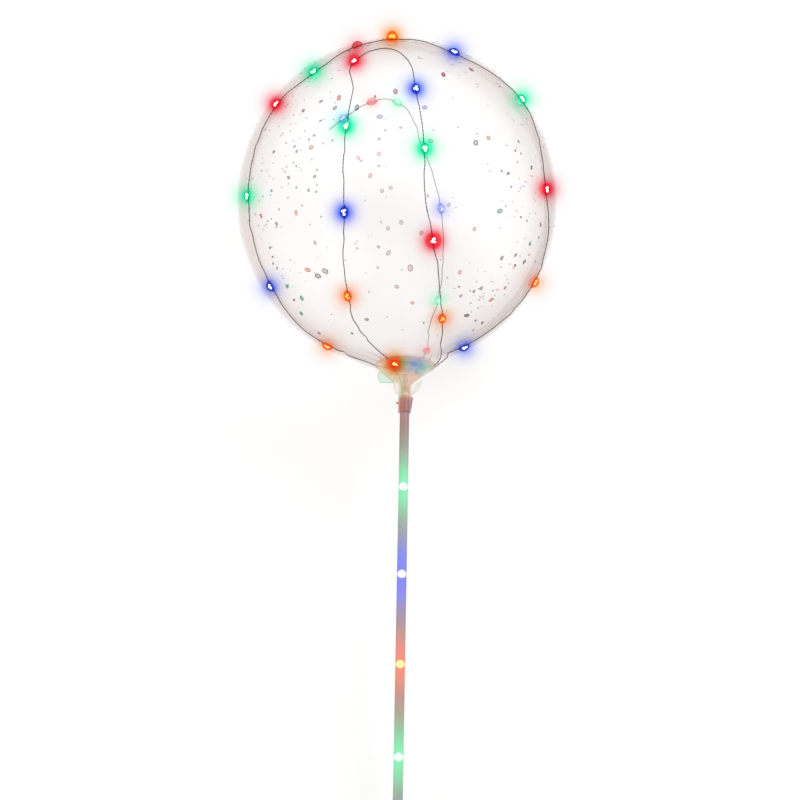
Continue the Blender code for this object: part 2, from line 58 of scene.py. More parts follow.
# The balloon: one clear film, sealed all round and blown up to a ball a little taller than it is wide.
# It sits to one side of its cup, and its gathered neck is pushed down over the lip into the cup's stem.
# All is drawn upright, with the cup's rim at height 0, and then laid down on the balloon's belly.
BALLOON_RADIUS = 0.189
BALLOON_HALF_HEIGHT = 0.1945
BALLOON_ABOVE_RIM = 0.0088
BALLOON_OFFSET = 0.013
BELLY_FLAT_DEPTH = 0.001
NECK_LATITUDE = -68.0
FILM_SLOPE_AT_LIP = 25.0
FILM_SHIFT_TOP = 0.014
FILM_SHIFT_BOTTOM = 0.0015
NECK_RADIUS = 0.0025
NECK_TOP_DEPTH = 0.0060
NECK_LENGTH = 0.024
RIM_RADIUS = 0.0335
LIP_RADIUS = 0.0011
CLEARANCE = 0.0003
HANDLE_BOTTOM = -0.712
HANDLE_EDGE = 0.0025
HANDLE_THICKNESS = 0.021
FILM_MERIDIANS = 288
FILM_PARALLELS = 180
CURVE_STEPS = 10
TOUCHING = 0.00001
PLEATS = 18
PLEAT_DEPTH = 0.12
CENTRE_HEIGHT = BALLOON_ABOVE_RIM + BALLOON_HALF_HEIGHT


def soft_step(share):
    share = min(max(share, 0.0), 1.0)
    return share * share * (3.0 - 2.0 * share)


def film_shift(height):
    """How far the balloon's axis has moved over to one side at this height."""
    share = (height - FILM_SHIFT_BOTTOM) / (FILM_SHIFT_TOP - FILM_SHIFT_BOTTOM)
    return -BALLOON_OFFSET * soft_step(share)


def bezier(corners, share):
    back = 1.0 - share
    weights = (back**3, 3 * back**2 * share, 3 * back * share**2, share**3)
    return tuple(sum(w * c[axis] for w, c in zip(weights, corners)) for axis in (0, 1))


def body_outline_point(latitude):
    angle = math.radians(latitude)
    radius = BALLOON_RADIUS * math.cos(angle)
    return radius, CENTRE_HEIGHT + BALLOON_HALF_HEIGHT * math.sin(angle)


def lip_contact():
    """Where the film passes the cup's lip."""
    slope = math.radians(FILM_SLOPE_AT_LIP)
    away = LIP_RADIUS + CLEARANCE
    return RIM_RADIUS - away * math.sin(slope), away * math.cos(slope)


def shoulder_corners():
    """The curve from the round body down to the lip."""
    top = body_outline_point(NECK_LATITUDE)
    low = lip_contact()
    angle = math.radians(NECK_LATITUDE)
    slope = math.atan2(BALLOON_HALF_HEIGHT * math.cos(angle), -BALLOON_RADIUS * math.sin(angle))
    reach = math.hypot(top[0] - low[0], top[1] - low[1]) / 3
    end = math.radians(FILM_SLOPE_AT_LIP)
    after = (top[0] - reach * math.cos(slope), top[1] - reach * math.sin(slope))
    before = (low[0] + reach * math.cos(end), low[1] + reach * math.sin(end))
    return top, after, before, low


def mouth_corners():
    """The curve of the film across the cup's mouth, from the lip in to the neck."""
    start = lip_contact()
    end = math.radians(FILM_SLOPE_AT_LIP)
    reach = start[0] / 7
    after = (start[0] - reach * math.cos(end), start[1] - reach * math.sin(end))
    before = (NECK_RADIUS + start[0] / 3, -NECK_TOP_DEPTH / 5)
    return start, after, before, (NECK_RADIUS, -NECK_TOP_DEPTH)


def lying_turn():
    """The turn and shift that lay the upright drawing down, belly and handle on the floor."""
    reach = CENTRE_HEIGHT - HANDLE_BOTTOM - HANDLE_EDGE
    rise = 0.0
    for _ in range(20):
        support = math.hypot(BALLOON_RADIUS * math.cos(rise), BALLOON_HALF_HEIGHT * math.sin(rise))
        drop = support - BELLY_FLAT_DEPTH - HANDLE_THICKNESS / 2 * math.cos(rise)
        rise = math.asin(drop / reach)
    down = Vector((0.0, math.cos(rise), -math.sin(rise)))
    support = math.hypot(BALLOON_RADIUS * down.y, BALLOON_HALF_HEIGHT * down.z)
    touch = Vector((0.0, BALLOON_RADIUS**2 * down.y, BALLOON_HALF_HEIGHT**2 * down.z)) / support
    centre = Vector((-BALLOON_OFFSET, 0.0, CENTRE_HEIGHT))
    spot = centre + touch * (1.0 - BELLY_FLAT_DEPTH / support)
    return Matrix.Rotation(rise - math.pi / 2, 4, "X") @ Matrix.Translation(-spot), spot, down


LYING, BELLY_SPOT, BELLY_DOWN = lying_turn()


def draw_out(steps):
    """Draws the selected ring of edges out through these (radius, height) steps."""
    for (radius, height), (next_radius, next_height) in zip(steps, steps[1:]):
        bpy.ops.mesh.extrude_edges_move(TRANSFORM_OT_translate={"value": (0.0, 0.0, next_height - height)})
        ratio = next_radius / radius
        bpy.ops.transform.resize(value=(ratio, ratio, 1.0), center_override=(0.0, 0.0, next_height))


def select_where(piece, wanted):
    """Selects the vertices that this test names, and the edges and faces between them."""
    bpy.ops.object.mode_set(mode="OBJECT")
    mesh = piece.data
    chosen = [bool(wanted(point.co)) for point in mesh.vertices]
    mesh.vertices.foreach_set("select", chosen)
    mesh.edges.foreach_set("select", [all(chosen[i] for i in edge.vertices) for edge in mesh.edges])
    mesh.polygons.foreach_set("select", [all(chosen[i] for i in face.vertices) for face in mesh.polygons])
    bpy.ops.object.mode_set(mode="EDIT")


def apply_place():
    """Takes the active piece's place, turn and size into its mesh."""
    bpy.ops.object.transform_apply(location=True, rotation=True, scale=True)


def named(piece, name):
    piece.name = name
    piece.data.name = name
    return piece


def join_pieces(pieces, name):
    """Joins pieces into the first of them."""
    bpy.ops.object.select_all(action="DESELECT")
    for piece in pieces:
        piece.select_set(True)
    bpy.context.view_layer.objects.active = pieces[0]
    bpy.ops.object.join()
    return named(pieces[0], name)


def close_up(piece):
    """Merges doubles, turns all faces outwards and leaves edit mode."""
    bpy.ops.mesh.select_all(action="SELECT")
    bpy.ops.mesh.remove_doubles(threshold=TOUCHING)
    bpy.ops.mesh.normals_make_consistent(inside=False)
    bpy.ops.object.mode_set(mode="OBJECT")
    piece.select_set(False)


def lay_down(piece, slot, *nodes, angle=35.0):
    """Lays a finished upright piece down, attaches it to the root and hides the CAD nodes it stands for; the
    name of its finish is not used.
    """
    bpy.ops.object.select_all(action="DESELECT")
    piece.select_set(True)
    bpy.context.view_layer.objects.active = piece
    piece.matrix_world = LYING @ piece.matrix_world
    apply_place()
    bpy.ops.object.shade_smooth_by_angle(angle=math.radians(angle))
    piece.select_set(False)
    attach(piece, "root")
    if nodes:
        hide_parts(*nodes)


def new_material(name):
    made = bpy.data.materials.new(name)
    made.use_nodes = True
    made.node_tree.nodes.clear()
    return made, made.node_tree


def add_node(tree, kind, **values):
    """A node of this kind. A name with a capital is a socket to set or link, and any other a setting."""
    made = tree.nodes.new("ShaderNode" + kind)
    for name, value in values.items():
        if not name[0].isupper():
            setattr(made, name, value)
        elif isinstance(value, bpy.types.NodeSocket):
            tree.links.new(value, made.inputs[name.replace("_", " ")])
        else:
            made.inputs[name.replace("_", " ")].default_value = value
    return made


def facing(tree):
    """How much the surface slants away from the eye."""
    return add_node(tree, "LayerWeight", Blend=0.5).outputs["Facing"]


def set_finish(made, shader, *pieces):
    """Ends a material with this shader and gives it to these pieces."""
    add_node(made.node_tree, "OutputMaterial", Surface=shader.outputs[0])
    for piece in pieces:
        piece.data.materials.clear()
        piece.data.materials.append(made)


def colour_ramp(tree, share, steps):
    """A colour by these (position, colour) steps. A bare number is a grey."""
    ramp = add_node(tree, "ValToRGB", Fac=share)
    while len(ramp.color_ramp.elements) < len(steps):
        ramp.color_ramp.elements.new(0.5)
    for element, (position, colour) in zip(ramp.color_ramp.elements, steps):
        element.position = position
        element.color = (*colour, 1.0) if isinstance(colour, tuple) else (colour, colour, colour, 1.0)
    return ramp.outputs["Color"]


def noise(tree, scale, detail):
    """A noise that stays on the piece."""
    place = add_node(tree, "TexCoord").outputs["Object"]
    return add_node(tree, "TexNoise", Scale=scale, Detail=detail, Vector=place).outputs["Fac"]


def across_with_noise(tree, reach, levels, noise_share, scale, detail):
    """A value that grows from the piece's left to its right between two levels, with some noise added."""
    axes = add_node(tree, "SeparateXYZ", Vector=add_node(tree, "TexCoord").outputs["Object"])
    across = add_node(tree, "MapRange", From_Min=-reach, From_Max=reach, To_Min=levels[0], To_Max=levels[1])
    tree.links.new(axes.outputs["X"], across.inputs["Value"])
    total = add_node(tree, "Math", operation="MULTIPLY_ADD")
    tree.links.new(noise(tree, scale, detail), total.inputs[0])
    total.inputs[1].default_value = noise_share
    tree.links.new(across.outputs["Result"], total.inputs[2])
    return total.outputs["Value"]


def mix_shaders(tree, share, first, second):
    mix = add_node(tree, "MixShader", Fac=share)
    tree.links.new(first.outputs[0], mix.inputs[1])
    tree.links.new(second.outputs[0], mix.inputs[2])
    return mix


def with_lamp_light(tree, shader, **gloss):
    """Lays the lamps' light, which the piece's vertices hold, over this finish."""
    lamp = add_node(tree, "Attribute", attribute_name="lamp_light")
    lit = add_node(tree, "BsdfPrincipled", Base_Color=lamp.outputs["Color"], **gloss)
    return mix_shaders(tree, lamp.outputs["Alpha"], shader, lit)


bpy.ops.mesh.primitive_uv_sphere_add(segments=FILM_MERIDIANS, ring_count=FILM_PARALLELS, radius=1.0)
film = named(bpy.context.object, "balloon_film")
film.scale = (BALLOON_RADIUS, BALLOON_RADIUS, BALLOON_HALF_HEIGHT)
film.location = (0.0, 0.0, CENTRE_HEIGHT)
apply_place()
neck_radius, neck_height = body_outline_point(NECK_LATITUDE)
bpy.ops.object.mode_set(mode="EDIT")
bpy.ops.mesh.select_all(action="SELECT")
bpy.ops.mesh.bisect(plane_co=(0.0, 0.0, neck_height), plane_no=(0.0, 0.0, 1.0), clear_inner=True)
select_where(film, lambda place: place.z < neck_height + TOUCHING)
film_steps = [bezier(shoulder_corners(), step / CURVE_STEPS) for step in range(CURVE_STEPS)]
film_steps += [bezier(mouth_corners(), step / CURVE_STEPS) for step in range(CURVE_STEPS + 1)]
film_steps.append((NECK_RADIUS, -NECK_TOP_DEPTH - NECK_LENGTH / 2))
film_steps.append((NECK_RADIUS, -NECK_TOP_DEPTH - NECK_LENGTH))
draw_out(film_steps)
bpy.ops.mesh.edge_face_add()
close_up(film)
for point in film.data.vertices:
    # The film is gathered: its pleats are deepest at the neck and run out on the shoulder
    gathered = soft_step((FILM_SHIFT_TOP - point.co.z) / (FILM_SHIFT_TOP + NECK_TOP_DEPTH))
    around_axis = math.atan2(point.co.y, point.co.x)
    pleat = 1.0 + PLEAT_DEPTH * gathered * (math.cos(PLEATS * around_axis) - 1.0) / 2
    point.co.x = point.co.x * pleat + film_shift(point.co.z)
    point.co.y *= pleat
    below = (point.co - BELLY_SPOT).dot(BELLY_DOWN)
    if below > 0.0:
        point.co -= BELLY_DOWN * below

# Where the film slants away, the eye looks through more of it, so it is denser towards its outline
FILM_DENSITY = (
    (0.0, 0.0), (0.17, 0.01), (0.30, 0.03), (0.41, 0.12), (0.48, 0.27), (0.56, 0.42), (0.61, 0.54),
    (0.635, 0.80), (0.70, 0.95), (0.76, 1.0), (0.82, 0.86), (0.90, 0.60), (1.0, 0.35),
)
# Its tints from the left to the right: its own pink-beige tint, with painted shade that makes it darker and
# greyer towards the right
FILM_TINTS_AND_SHADE = (
    (0.15, (0.64, 0.49, 0.46)), (0.60, (0.50, 0.39, 0.37)),
    (0.90, (0.50, 0.385, 0.36)), (1.0, (0.44, 0.33, 0.305)),
)
FACE_ON_TINT = (0.95, 0.80, 0.79, 1.0)
made, tree = new_material("blown_film")
slant = facing(tree)
across = across_with_noise(tree, BALLOON_RADIUS, levels=(0.0, 1.0), noise_share=0.35, scale=14.0, detail=3.0)
# The film's colour across it, darker towards the right, is partly painted shade
tint = colour_ramp(tree, across, FILM_TINTS_AND_SHADE)
face_on = add_node(tree, "BsdfPrincipled", Base_Color=FACE_ON_TINT, Roughness=0.05, Alpha=0.018, IOR=1.45)
edge_on = add_node(tree, "BsdfPrincipled", Base_Color=tint, Roughness=0.12, Alpha=0.46, IOR=1.45)
clear = mix_shaders(tree, colour_ramp(tree, slant, FILM_DENSITY), face_on, edge_on)
mirror = add_node(tree, "BsdfGlossy", Roughness=0.18)
mirror_share = add_node(tree, "MapRange", To_Min=0.008, To_Max=0.09, Value=slant)
shiny = mix_shaders(tree, mirror_share.outputs["Result"], with_lamp_light(tree, clear, Roughness=0.4), mirror)
set_finish(made, shiny, film)
lay_down(film, "clear_film", "balloon")

# The light string: two thin lacquered wires side by side, twisted a little and never quite straight.
# It starts in the handle, runs up inside the stick, leaves through a notch in the cup's rim and lies
# over the balloon: up the left, across the crown, down the right, up and down the front, up the back.
NOTCHES = {"left": -92.0, "right": 101.0, "third": 84.0, "second": -38.0, "back": 155.0}
WIRE_RADIUS = 0.00055
WIRE_STEP = 0.0022
WIRE_LIFT = WIRE_RADIUS + 0.0006
CORE_RADIUS = 0.00034
TWIST_LENGTH = 0.009
KINK_REACH = 0.0009
KINK_SPACING = 5
KINK_EASE = 0.45
BEAD_LENGTH = 0.0092
BEAD_WIDTH = 0.0066
BEAD_HEIGHT = 0.0044
BEAD_GAP = BEAD_LENGTH / 2 + 0.0008
BEAD_PITCH = 0.100
FIRST_STICK_BEAD_DEPTH = 0.0445
STICK_RADIUS = 0.0055
STICK_BORE = 0.0045
STICK_TOP_DEPTH = 0.0370
FUNNEL_DEPTH = 0.0215
BAY_TOP = -0.635
WIRE_IN_BAY = 0.003
SLOPE_STEP = 0.01
WIRE_SAG = math.sqrt((STICK_BORE - CLEARANCE) ** 2 - (BEAD_WIDTH / 2) ** 2) - WIRE_RADIUS - 0.0001


def around(radius, height, azimuth):
    angle = math.radians(azimuth)
    return Vector((radius * math.sin(angle), -radius * math.cos(angle), height))


def on_body(azimuth, latitude):
    """A wire point on the balloon's round body, with the film's normal there."""
    radius, height = body_outline_point(latitude)
    normal = around(radius / BALLOON_RADIUS**2, (height - CENTRE_HEIGHT) / BALLOON_HALF_HEIGHT**2, azimuth)
    normal.normalize()
    place = around(radius, height, azimuth) + Vector((film_shift(height), 0.0, 0.0))
    return place + normal * WIRE_LIFT, normal


def under_body(azimuth, radius):
    """A wire point under the balloon, at this distance from the axis, with the film's normal there."""
    corners = mouth_corners() if radius < lip_contact()[0] else shoulder_corners()
    low, high = 0.0, 1.0
    for _ in range(30):
        share = (low + high) / 2
        if bezier(corners, share)[0] > radius:
            low = share
        else:
            high = share
    here = bezier(corners, low)
    there = bezier(corners, min(low + SLOPE_STEP, 1.0))
    before = bezier(corners, max(low - SLOPE_STEP, 0.0))
    step = (there[0] - before[0], there[1] - before[1])
    length = math.hypot(*step)
    normal = around(-step[1] / length, step[0] / length, azimuth)
    place = around(here[0], here[1], azimuth) + Vector((film_shift(here[1]), 0.0, 0.0))
    return place + normal * WIRE_LIFT, normal


def in_stick(depth):
    return Vector((0.0, WIRE_SAG, -depth)), Vector((0.0, -1.0, 0.0))


def in_stem(azimuth, depth):
    middle = (NECK_RADIUS + STICK_RADIUS - CLEARANCE) / 2
    return around(middle, -depth, azimuth), around(1.0, 0.0, azimuth)


def through_notch(name):
    azimuth = NOTCHES[name]
    radii = (RIM_RADIUS * 1.22, lip_contact()[0], RIM_RADIUS * 0.80)
    return [(under_body(azimuth, radius), None) for radius in radii]


def body_stops(stops):
    """Stops on the round body from (azimuth, latitude, bead colour or None)."""
    return [(on_body(azimuth, latitude), colour) for azimuth, latitude, colour in stops]


def string_route():
    """The string from the handle to its end: a list of ((point, normal), bead colour or None)."""
    route = [(in_stick(-BAY_TOP + WIRE_IN_BAY), None)]
    for number, colour in reversed(list(enumerate(["red", "green", "blue", "amber", "green", "blue"]))):
        route.append((in_stick(FIRST_STICK_BEAD_DEPTH + number * BEAD_PITCH), colour))
    stem = [in_stem(-92, STICK_TOP_DEPTH - 0.006), in_stem(-92, FUNNEL_DEPTH), under_body(-92, 0.015)]
    route += [(place, None) for place in stem]
    route += reversed(through_notch("left"))
    route.append((under_body(-92, 0.053), None))
    route += body_stops([
        (-92, -66, "amber"), (-84, -52, None), (-74, -39, "blue"), (-68, -22, None), (-64, -9, "green"),
        (-59, 6, None), (-51, 21, "red"), (-36, 31, "green"), (-21, 45, "red"), (-4, 50, "amber"),
        (12, 49, None), (26, 42, "blue"), (42, 36, None), (57, 28, "green"), (60, 11, None),
        (63, -5, "red"), (74, -18, None), (84, -32, "amber"), (87, -50, None), (92, -65, "blue"),
    ])
    route += through_notch("right")
    route.append((under_body(93, 0.0185), None))
    route += reversed(through_notch("third"))
    route.append((under_body(58, 0.062), None))
    route += body_stops([
        (35, -61, "amber"), (22, -47, None), (15, -34, "red"), (10, -20, None), (9, -5, "green"),
        (6, 17, "blue"), (4, 30, None), (-6, 40, None), (-18, 32, "red"), (-16, 18, None),
        (-17, 3, "green"), (-18, -11, None), (-19, -25, "blue"), (-23, -40, None), (-27, -53, "amber"),
        (-33, -66, None),
    ])
    route += through_notch("second")
    route += [
        (under_body(-34, 0.0215), "red"), (under_body(-4, 0.0210), "green"), (under_body(28, 0.0205), "blue"),
        (under_body(66, 0.0195), "green"), (under_body(96, 0.0125), None), (under_body(128, 0.0165), None),
    ]
    route += reversed(through_notch("back"))
    route += body_stops([
        (160, -62, None), (163, -46, "red"), (165, -30, None), (163, -17, "green"), (162, 2, None),
        (162, 20, "blue"), (167, 43, None), (-178, 63, "green"), (-157, 62, "red"), (-143, 52, "blue"),
        (-138, 46, None),
    ])
    return route


def with_bead_ends(route):
    """Gives each bead two wire points, one at each end, so that the wire runs straight through it."""
    points = [Vector(place[0]) for place, _ in route]
    stops = []
    beads = []
    for i, ((point, normal), colour) in enumerate(route):
        before = points[max(i - 1, 0)]
        after = points[min(i + 1, len(points) - 1)]
        heading = (point - before).normalized() + (after - point).normalized()
        if colour is None:
            stops.append((Vector(point), heading.normalized()))
            continue
        heading = (heading - normal * heading.dot(normal)).normalized()
        stops.append((point - heading * BEAD_GAP, heading))
        stops.append((point + heading * BEAD_GAP, heading))
        beads.append((colour, Vector(point), heading, normal))
    return stops, beads


def smooth_path(stops):
    """Points along a smooth curve through the stops, about one wire step apart."""
    path = []
    for (start, leaving), (end, arriving) in zip(stops, stops[1:]):
        reach = (end - start).length
        count = max(1, round(reach / WIRE_STEP))
        for i in range(count):
            t = i / count
            path.append(
                start * (2 * t**3 - 3 * t**2 + 1)
                + leaving * reach * (t**3 - 2 * t**2 + t)
                + end * (3 * t**2 - 2 * t**3)
                + arriving * reach * (t**3 - t**2)
            )
    path.append(stops[-1][0])
    return path


def lift_off_film(point):
    """Moves a wire point out along the film where a chord between two stops would dip into it."""
    if point.z < FILM_SHIFT_TOP:
        return point
    centre = Vector((film_shift(point.z), 0.0, CENTRE_HEIGHT))
    offset = point - centre
    scaled = Vector((offset.x / BALLOON_RADIUS, offset.y / BALLOON_RADIUS, offset.z / BALLOON_HALF_HEIGHT))
    wanted = 1.0 + WIRE_LIFT / BALLOON_RADIUS
    return centre + offset * (wanted / scaled.length)


def twisted(path, phase, kinks):
    """One wire's line: it winds round the string's line, which wanders a little to the side."""
    line = []
    side = Vector((1.0, 0.0, 0.0))
    travelled = 0.0
    for i, point in enumerate(path):
        ahead = (path[min(i + 1, len(path) - 1)] - path[max(i - 1, 0)]).normalized()
        side = (side - ahead * side.dot(ahead)).normalized()
        up = ahead.cross(side)
        if i:
            travelled += (point - path[i - 1]).length
        turn = phase + math.tau * travelled / TWIST_LENGTH
        offset = side * math.cos(turn) + up * math.sin(turn)
        line.append(point + offset * CORE_RADIUS + kinks[i])
    return line


def wire_curve(name, line, radius):
    curve = bpy.data.curves.new(name, "CURVE")
    curve.dimensions = "3D"
    curve.bevel_depth = radius
    curve.bevel_resolution = 1
    curve.use_fill_caps = True
    spline = curve.splines.new("POLY")
    spline.points.add(len(line) - 1)
    for spot, place in zip(spline.points, line):
        spot.co = (*place, 1.0)
    made = bpy.data.objects.new(name, curve)
    bpy.context.scene.collection.objects.link(made)
    return made


wire_stops, bead_places = with_bead_ends(string_route())
wire_path = [lift_off_film(point) for point in smooth_path(wire_stops)]
wander = random.Random(11)
kinks = []
nudge = Vector()
target = Vector()
for i, point in enumerate(wire_path):
    if i % KINK_SPACING == 0:
        reach = KINK_REACH if point.z > FILM_SHIFT_TOP else 0.0
        target = Vector([wander.uniform(-reach, reach) for _ in range(3)])
        if point.z > FILM_SHIFT_TOP:
            out = (point - Vector((film_shift(point.z), 0.0, CENTRE_HEIGHT))).normalized()
            target -= out * min(target.dot(out), 0.0)
    nudge = nudge.lerp(target, KINK_EASE)
    kinks.append(nudge.copy())
strands = []
for number, phase in enumerate((0.0, math.pi)):
    strands.append(wire_curve(f"wire_strand_{number}", twisted(wire_path, phase, kinks), CORE_RADIUS))
bpy.ops.object.select_all(action="DESELECT")
for strand in strands:
    strand.select_set(True)
bpy.context.view_layer.objects.active = strands[0]
bpy.ops.object.convert(target="MESH")
wire = join_pieces(strands, "lamp_wire")

# Through both films the far side of the wire looks paler, so it is painted paler: a painted veil of the
# films' glare over the dark lacquer
FAR_WIRE_GLARE_COLOUR = (0.42, 0.37, 0.37, 1.0)
FAR_WIRE_SHARE = 0.6
FAR_SIDE_FROM = 0.02
FAR_SIDE_BLEND = 0.04


def mix_colours(tree, share, first, second):
    """A mix of two colours; the second may be a plain one."""
    mix = add_node(tree, "Mix", data_type="RGBA", Factor=share)
    tree.links.new(first, mix.inputs[6])
    if isinstance(second, tuple):
        mix.inputs[7].default_value = second
    else:
        tree.links.new(second, mix.inputs[7])
    return mix.outputs[2]


depths = [(point.co.y - FAR_SIDE_FROM) / FAR_SIDE_BLEND for point in wire.data.vertices]
far = [FAR_WIRE_SHARE * soft_step(depth) for depth in depths]
wire.data.attributes.new("far_side", "FLOAT", "POINT").data.foreach_set("value", far)
made, tree = new_material("lacquered_wire")
lacquer_tones = ((0.35, (0.030, 0.024, 0.026)), (0.65, (0.11, 0.085, 0.085)))
lacquer = colour_ramp(tree, noise(tree, 160.0, 2.0), lacquer_tones)
far_share = add_node(tree, "Attribute", attribute_name="far_side").outputs["Fac"]
# Painted glare: the far side is mixed towards a paler colour
shown = mix_colours(tree, far_share, lacquer, FAR_WIRE_GLARE_COLOUR)
coat = add_node(tree, "BsdfPrincipled", Base_Color=shown, Roughness=0.35, Metallic=0.3)
set_finish(made, coat, wire)
lay_down(wire, "wire_coat", "string_wire", angle=60.0)

# The beads: small lamps cast in drops of clear coloured resin on the wire, lit. A drop is flat towards
# the film, domed outwards and a little long, and its lamp shows in it as three white-hot lumps.
# Each resin's edge, glow and strength of glow are followed by its lamp's colour and strength.
RESINS = {
    "red": ((0.60, 0.004, 0.026), (0.86, 0.02, 0.06), 0.75, (1.0, 0.55, 0.60), 4.5),
    "green": ((0.004, 0.42, 0.21), (0.02, 0.64, 0.32), 0.80, (0.48, 1.0, 0.78), 4.5),
    "blue": ((0.006, 0.008, 0.30), (0.02, 0.03, 0.52), 0.80, (0.56, 0.66, 1.0), 4.5),
    "amber": ((0.74, 0.055, 0.004), (0.98, 0.17, 0.015), 0.34, (1.0, 0.57, 0.07), 1.7),
    "flame": ((0.74, 0.010, 0.012), (0.90, 0.07, 0.02), 4.2, (1.0, 0.50, 0.05), 22.0),
}
DULL_RESINS = {
    "red": ((0.42, 0.002, 0.014), (0.62, 0.008, 0.03), 0.45, (0.80, 0.03, 0.06), 0.5),
}
FAINT_RESINS = {
    "red": ((0.84, 0.34, 0.36), (0.92, 0.45, 0.46), 0.16, (1.0, 0.72, 0.72), 0.5),
    "green": ((0.34, 0.80, 0.58), (0.44, 0.88, 0.68), 0.30, (0.70, 1.0, 0.88), 1.8),
    "blue": ((0.34, 0.38, 0.84), (0.44, 0.48, 0.92), 0.30, (0.70, 0.76, 1.0), 1.8),
}
# The lamps on the balloon's far side show only faintly through both films, and one near the crown is dull
FAINT_BEADS = (31, 32, 33, 34, 35, 36)
DULL_BEADS = (12,)
DIM_GLOW = 0.40
DIM_LAMP = 0.6
DROP_SEGMENTS = 24
DROP_RINGS = 14
DROP_UNDER = 0.0010
DROP_GROWTH = (1.42, 1.42, 1.60)
DROP_GROWTH_UNDER_CUP = (1.0, 1.0, 1.0)
DROP_GROWTH_IN_STICK = (0.92, 1.18, 0.95)
DROP_GROWTH_ON_CROWN = (1.40, 1.50, 2.60)
CROWN_BEAD = 13
CROWN_LUMP_GROWTH = 1.7
DROP_NOSE = 0.12
LUMP_SEGMENTS = 10
LUMP_RINGS = 6
LUMP_COUNT = 3
LUMP_TURN = 0.35
LUMP_SIZES = (0.75, 1.15)
LUMP_RADII = (0.0019, 0.0015, 0.0012)
LUMP_DISTANCE = (0.0022, 0.0016)
LUMP_HEIGHT = 0.0022
STICK_LUMP_RADII = (0.0036, 0.0034, 0.0014)
STICK_LUMP_PLACE = (0.0, 0.0, 0.0016)


def store_core(piece, value):
    core = piece.data.attributes.new("core_light", "FLOAT", "POINT")
    core.data.foreach_set("value", [value] * len(piece.data.vertices))


def resin_drop(name, growth, chance):
    """One drop with its lamp's lumps inside, at the origin: along X the wire, up Z away from the film."""
    bpy.ops.object.select_all(action="DESELECT")
    bpy.ops.mesh.primitive_uv_sphere_add(segments=DROP_SEGMENTS, ring_count=DROP_RINGS, radius=1.0)
    drop = bpy.context.object
    drop.rotation_euler = (0.0, math.pi / 2, 0.0)
    apply_place()
    for point in drop.data.vertices:
        nose = 1.0 + DROP_NOSE * abs(point.co.x) ** 6
        under = point.co.z < 0.0
        point.co.x *= BEAD_LENGTH / 2 * nose * growth[0]
        point.co.y *= BEAD_WIDTH / 2 * growth[1]
        point.co.z *= DROP_UNDER if under else (BEAD_HEIGHT - WIRE_RADIUS) * growth[2]
    store_core(drop, 0.0)
    first = chance.uniform(0.0, math.tau)
    lumps = []
    for i in range(LUMP_COUNT):
        angle = first + math.tau * i / LUMP_COUNT + chance.uniform(-LUMP_TURN, LUMP_TURN)
        bpy.ops.mesh.primitive_uv_sphere_add(segments=LUMP_SEGMENTS, ring_count=LUMP_RINGS, radius=1.0)
        lump = bpy.context.object
        radii = [radius * chance.uniform(*LUMP_SIZES) for radius in LUMP_RADII]
        place = (LUMP_DISTANCE[0] * math.cos(angle), LUMP_DISTANCE[1] * math.sin(angle), LUMP_HEIGHT)
        if growth == DROP_GROWTH_IN_STICK:
            # Behind the milky wall a lamp shows as one round spot
            radii, place = STICK_LUMP_RADII, STICK_LUMP_PLACE
        if growth == DROP_GROWTH_ON_CROWN:
            radii = [radius * CROWN_LUMP_GROWTH for radius in radii]
            place = (place[0], place[1], LUMP_HEIGHT * CROWN_LUMP_GROWTH)
        spin = Matrix.Rotation(chance.uniform(0.0, math.pi), 4, "Z")
        lump.data.transform(Matrix.Translation(place) @ spin @ Matrix.Diagonal((*radii, 1.0)))
        store_core(lump, 1.0)
        lumps.append(lump)
    return join_pieces([drop, *lumps], name)


def resin_material(colour, edge, glow, glow_strength, lamp_colour, lamp_strength):
    """A lit resin: the drop's skin glows in its own colours, and the lumps inside in the lamp's."""
    made, tree = new_material("lit_" + colour + "_resin")
    slant = facing(tree)
    depth = add_node(tree, "MapRange", From_Min=0.05, From_Max=0.55, To_Min=0.34, To_Max=0.97, Value=slant)
    unlit = [channel * max(1.1 - glow_strength, 0.0) for channel in edge]
    resin = add_node(
        tree,
        "BsdfPrincipled",
        Base_Color=(*unlit, 1.0),
        Roughness=0.08,
        IOR=1.5,
        Coat_Weight=0.3,
        Emission_Color=colour_ramp(tree, noise(tree, 300.0, 1.0), ((0.35, edge), (0.65, glow))),
        Emission_Strength=glow_strength,
        Alpha=depth.outputs["Result"],
    )
    lamp = add_node(
        tree,
        "BsdfPrincipled",
        Base_Color=(*lamp_colour, 1.0),
        Roughness=0.5,
        Emission_Color=(*lamp_colour, 1.0),
        Emission_Strength=lamp_strength,
    )
    core = add_node(tree, "Attribute", attribute_name="core_light").outputs["Fac"]
    add_node(tree, "OutputMaterial", Surface=mix_shaders(tree, core, resin, lamp).outputs[0])
    return made


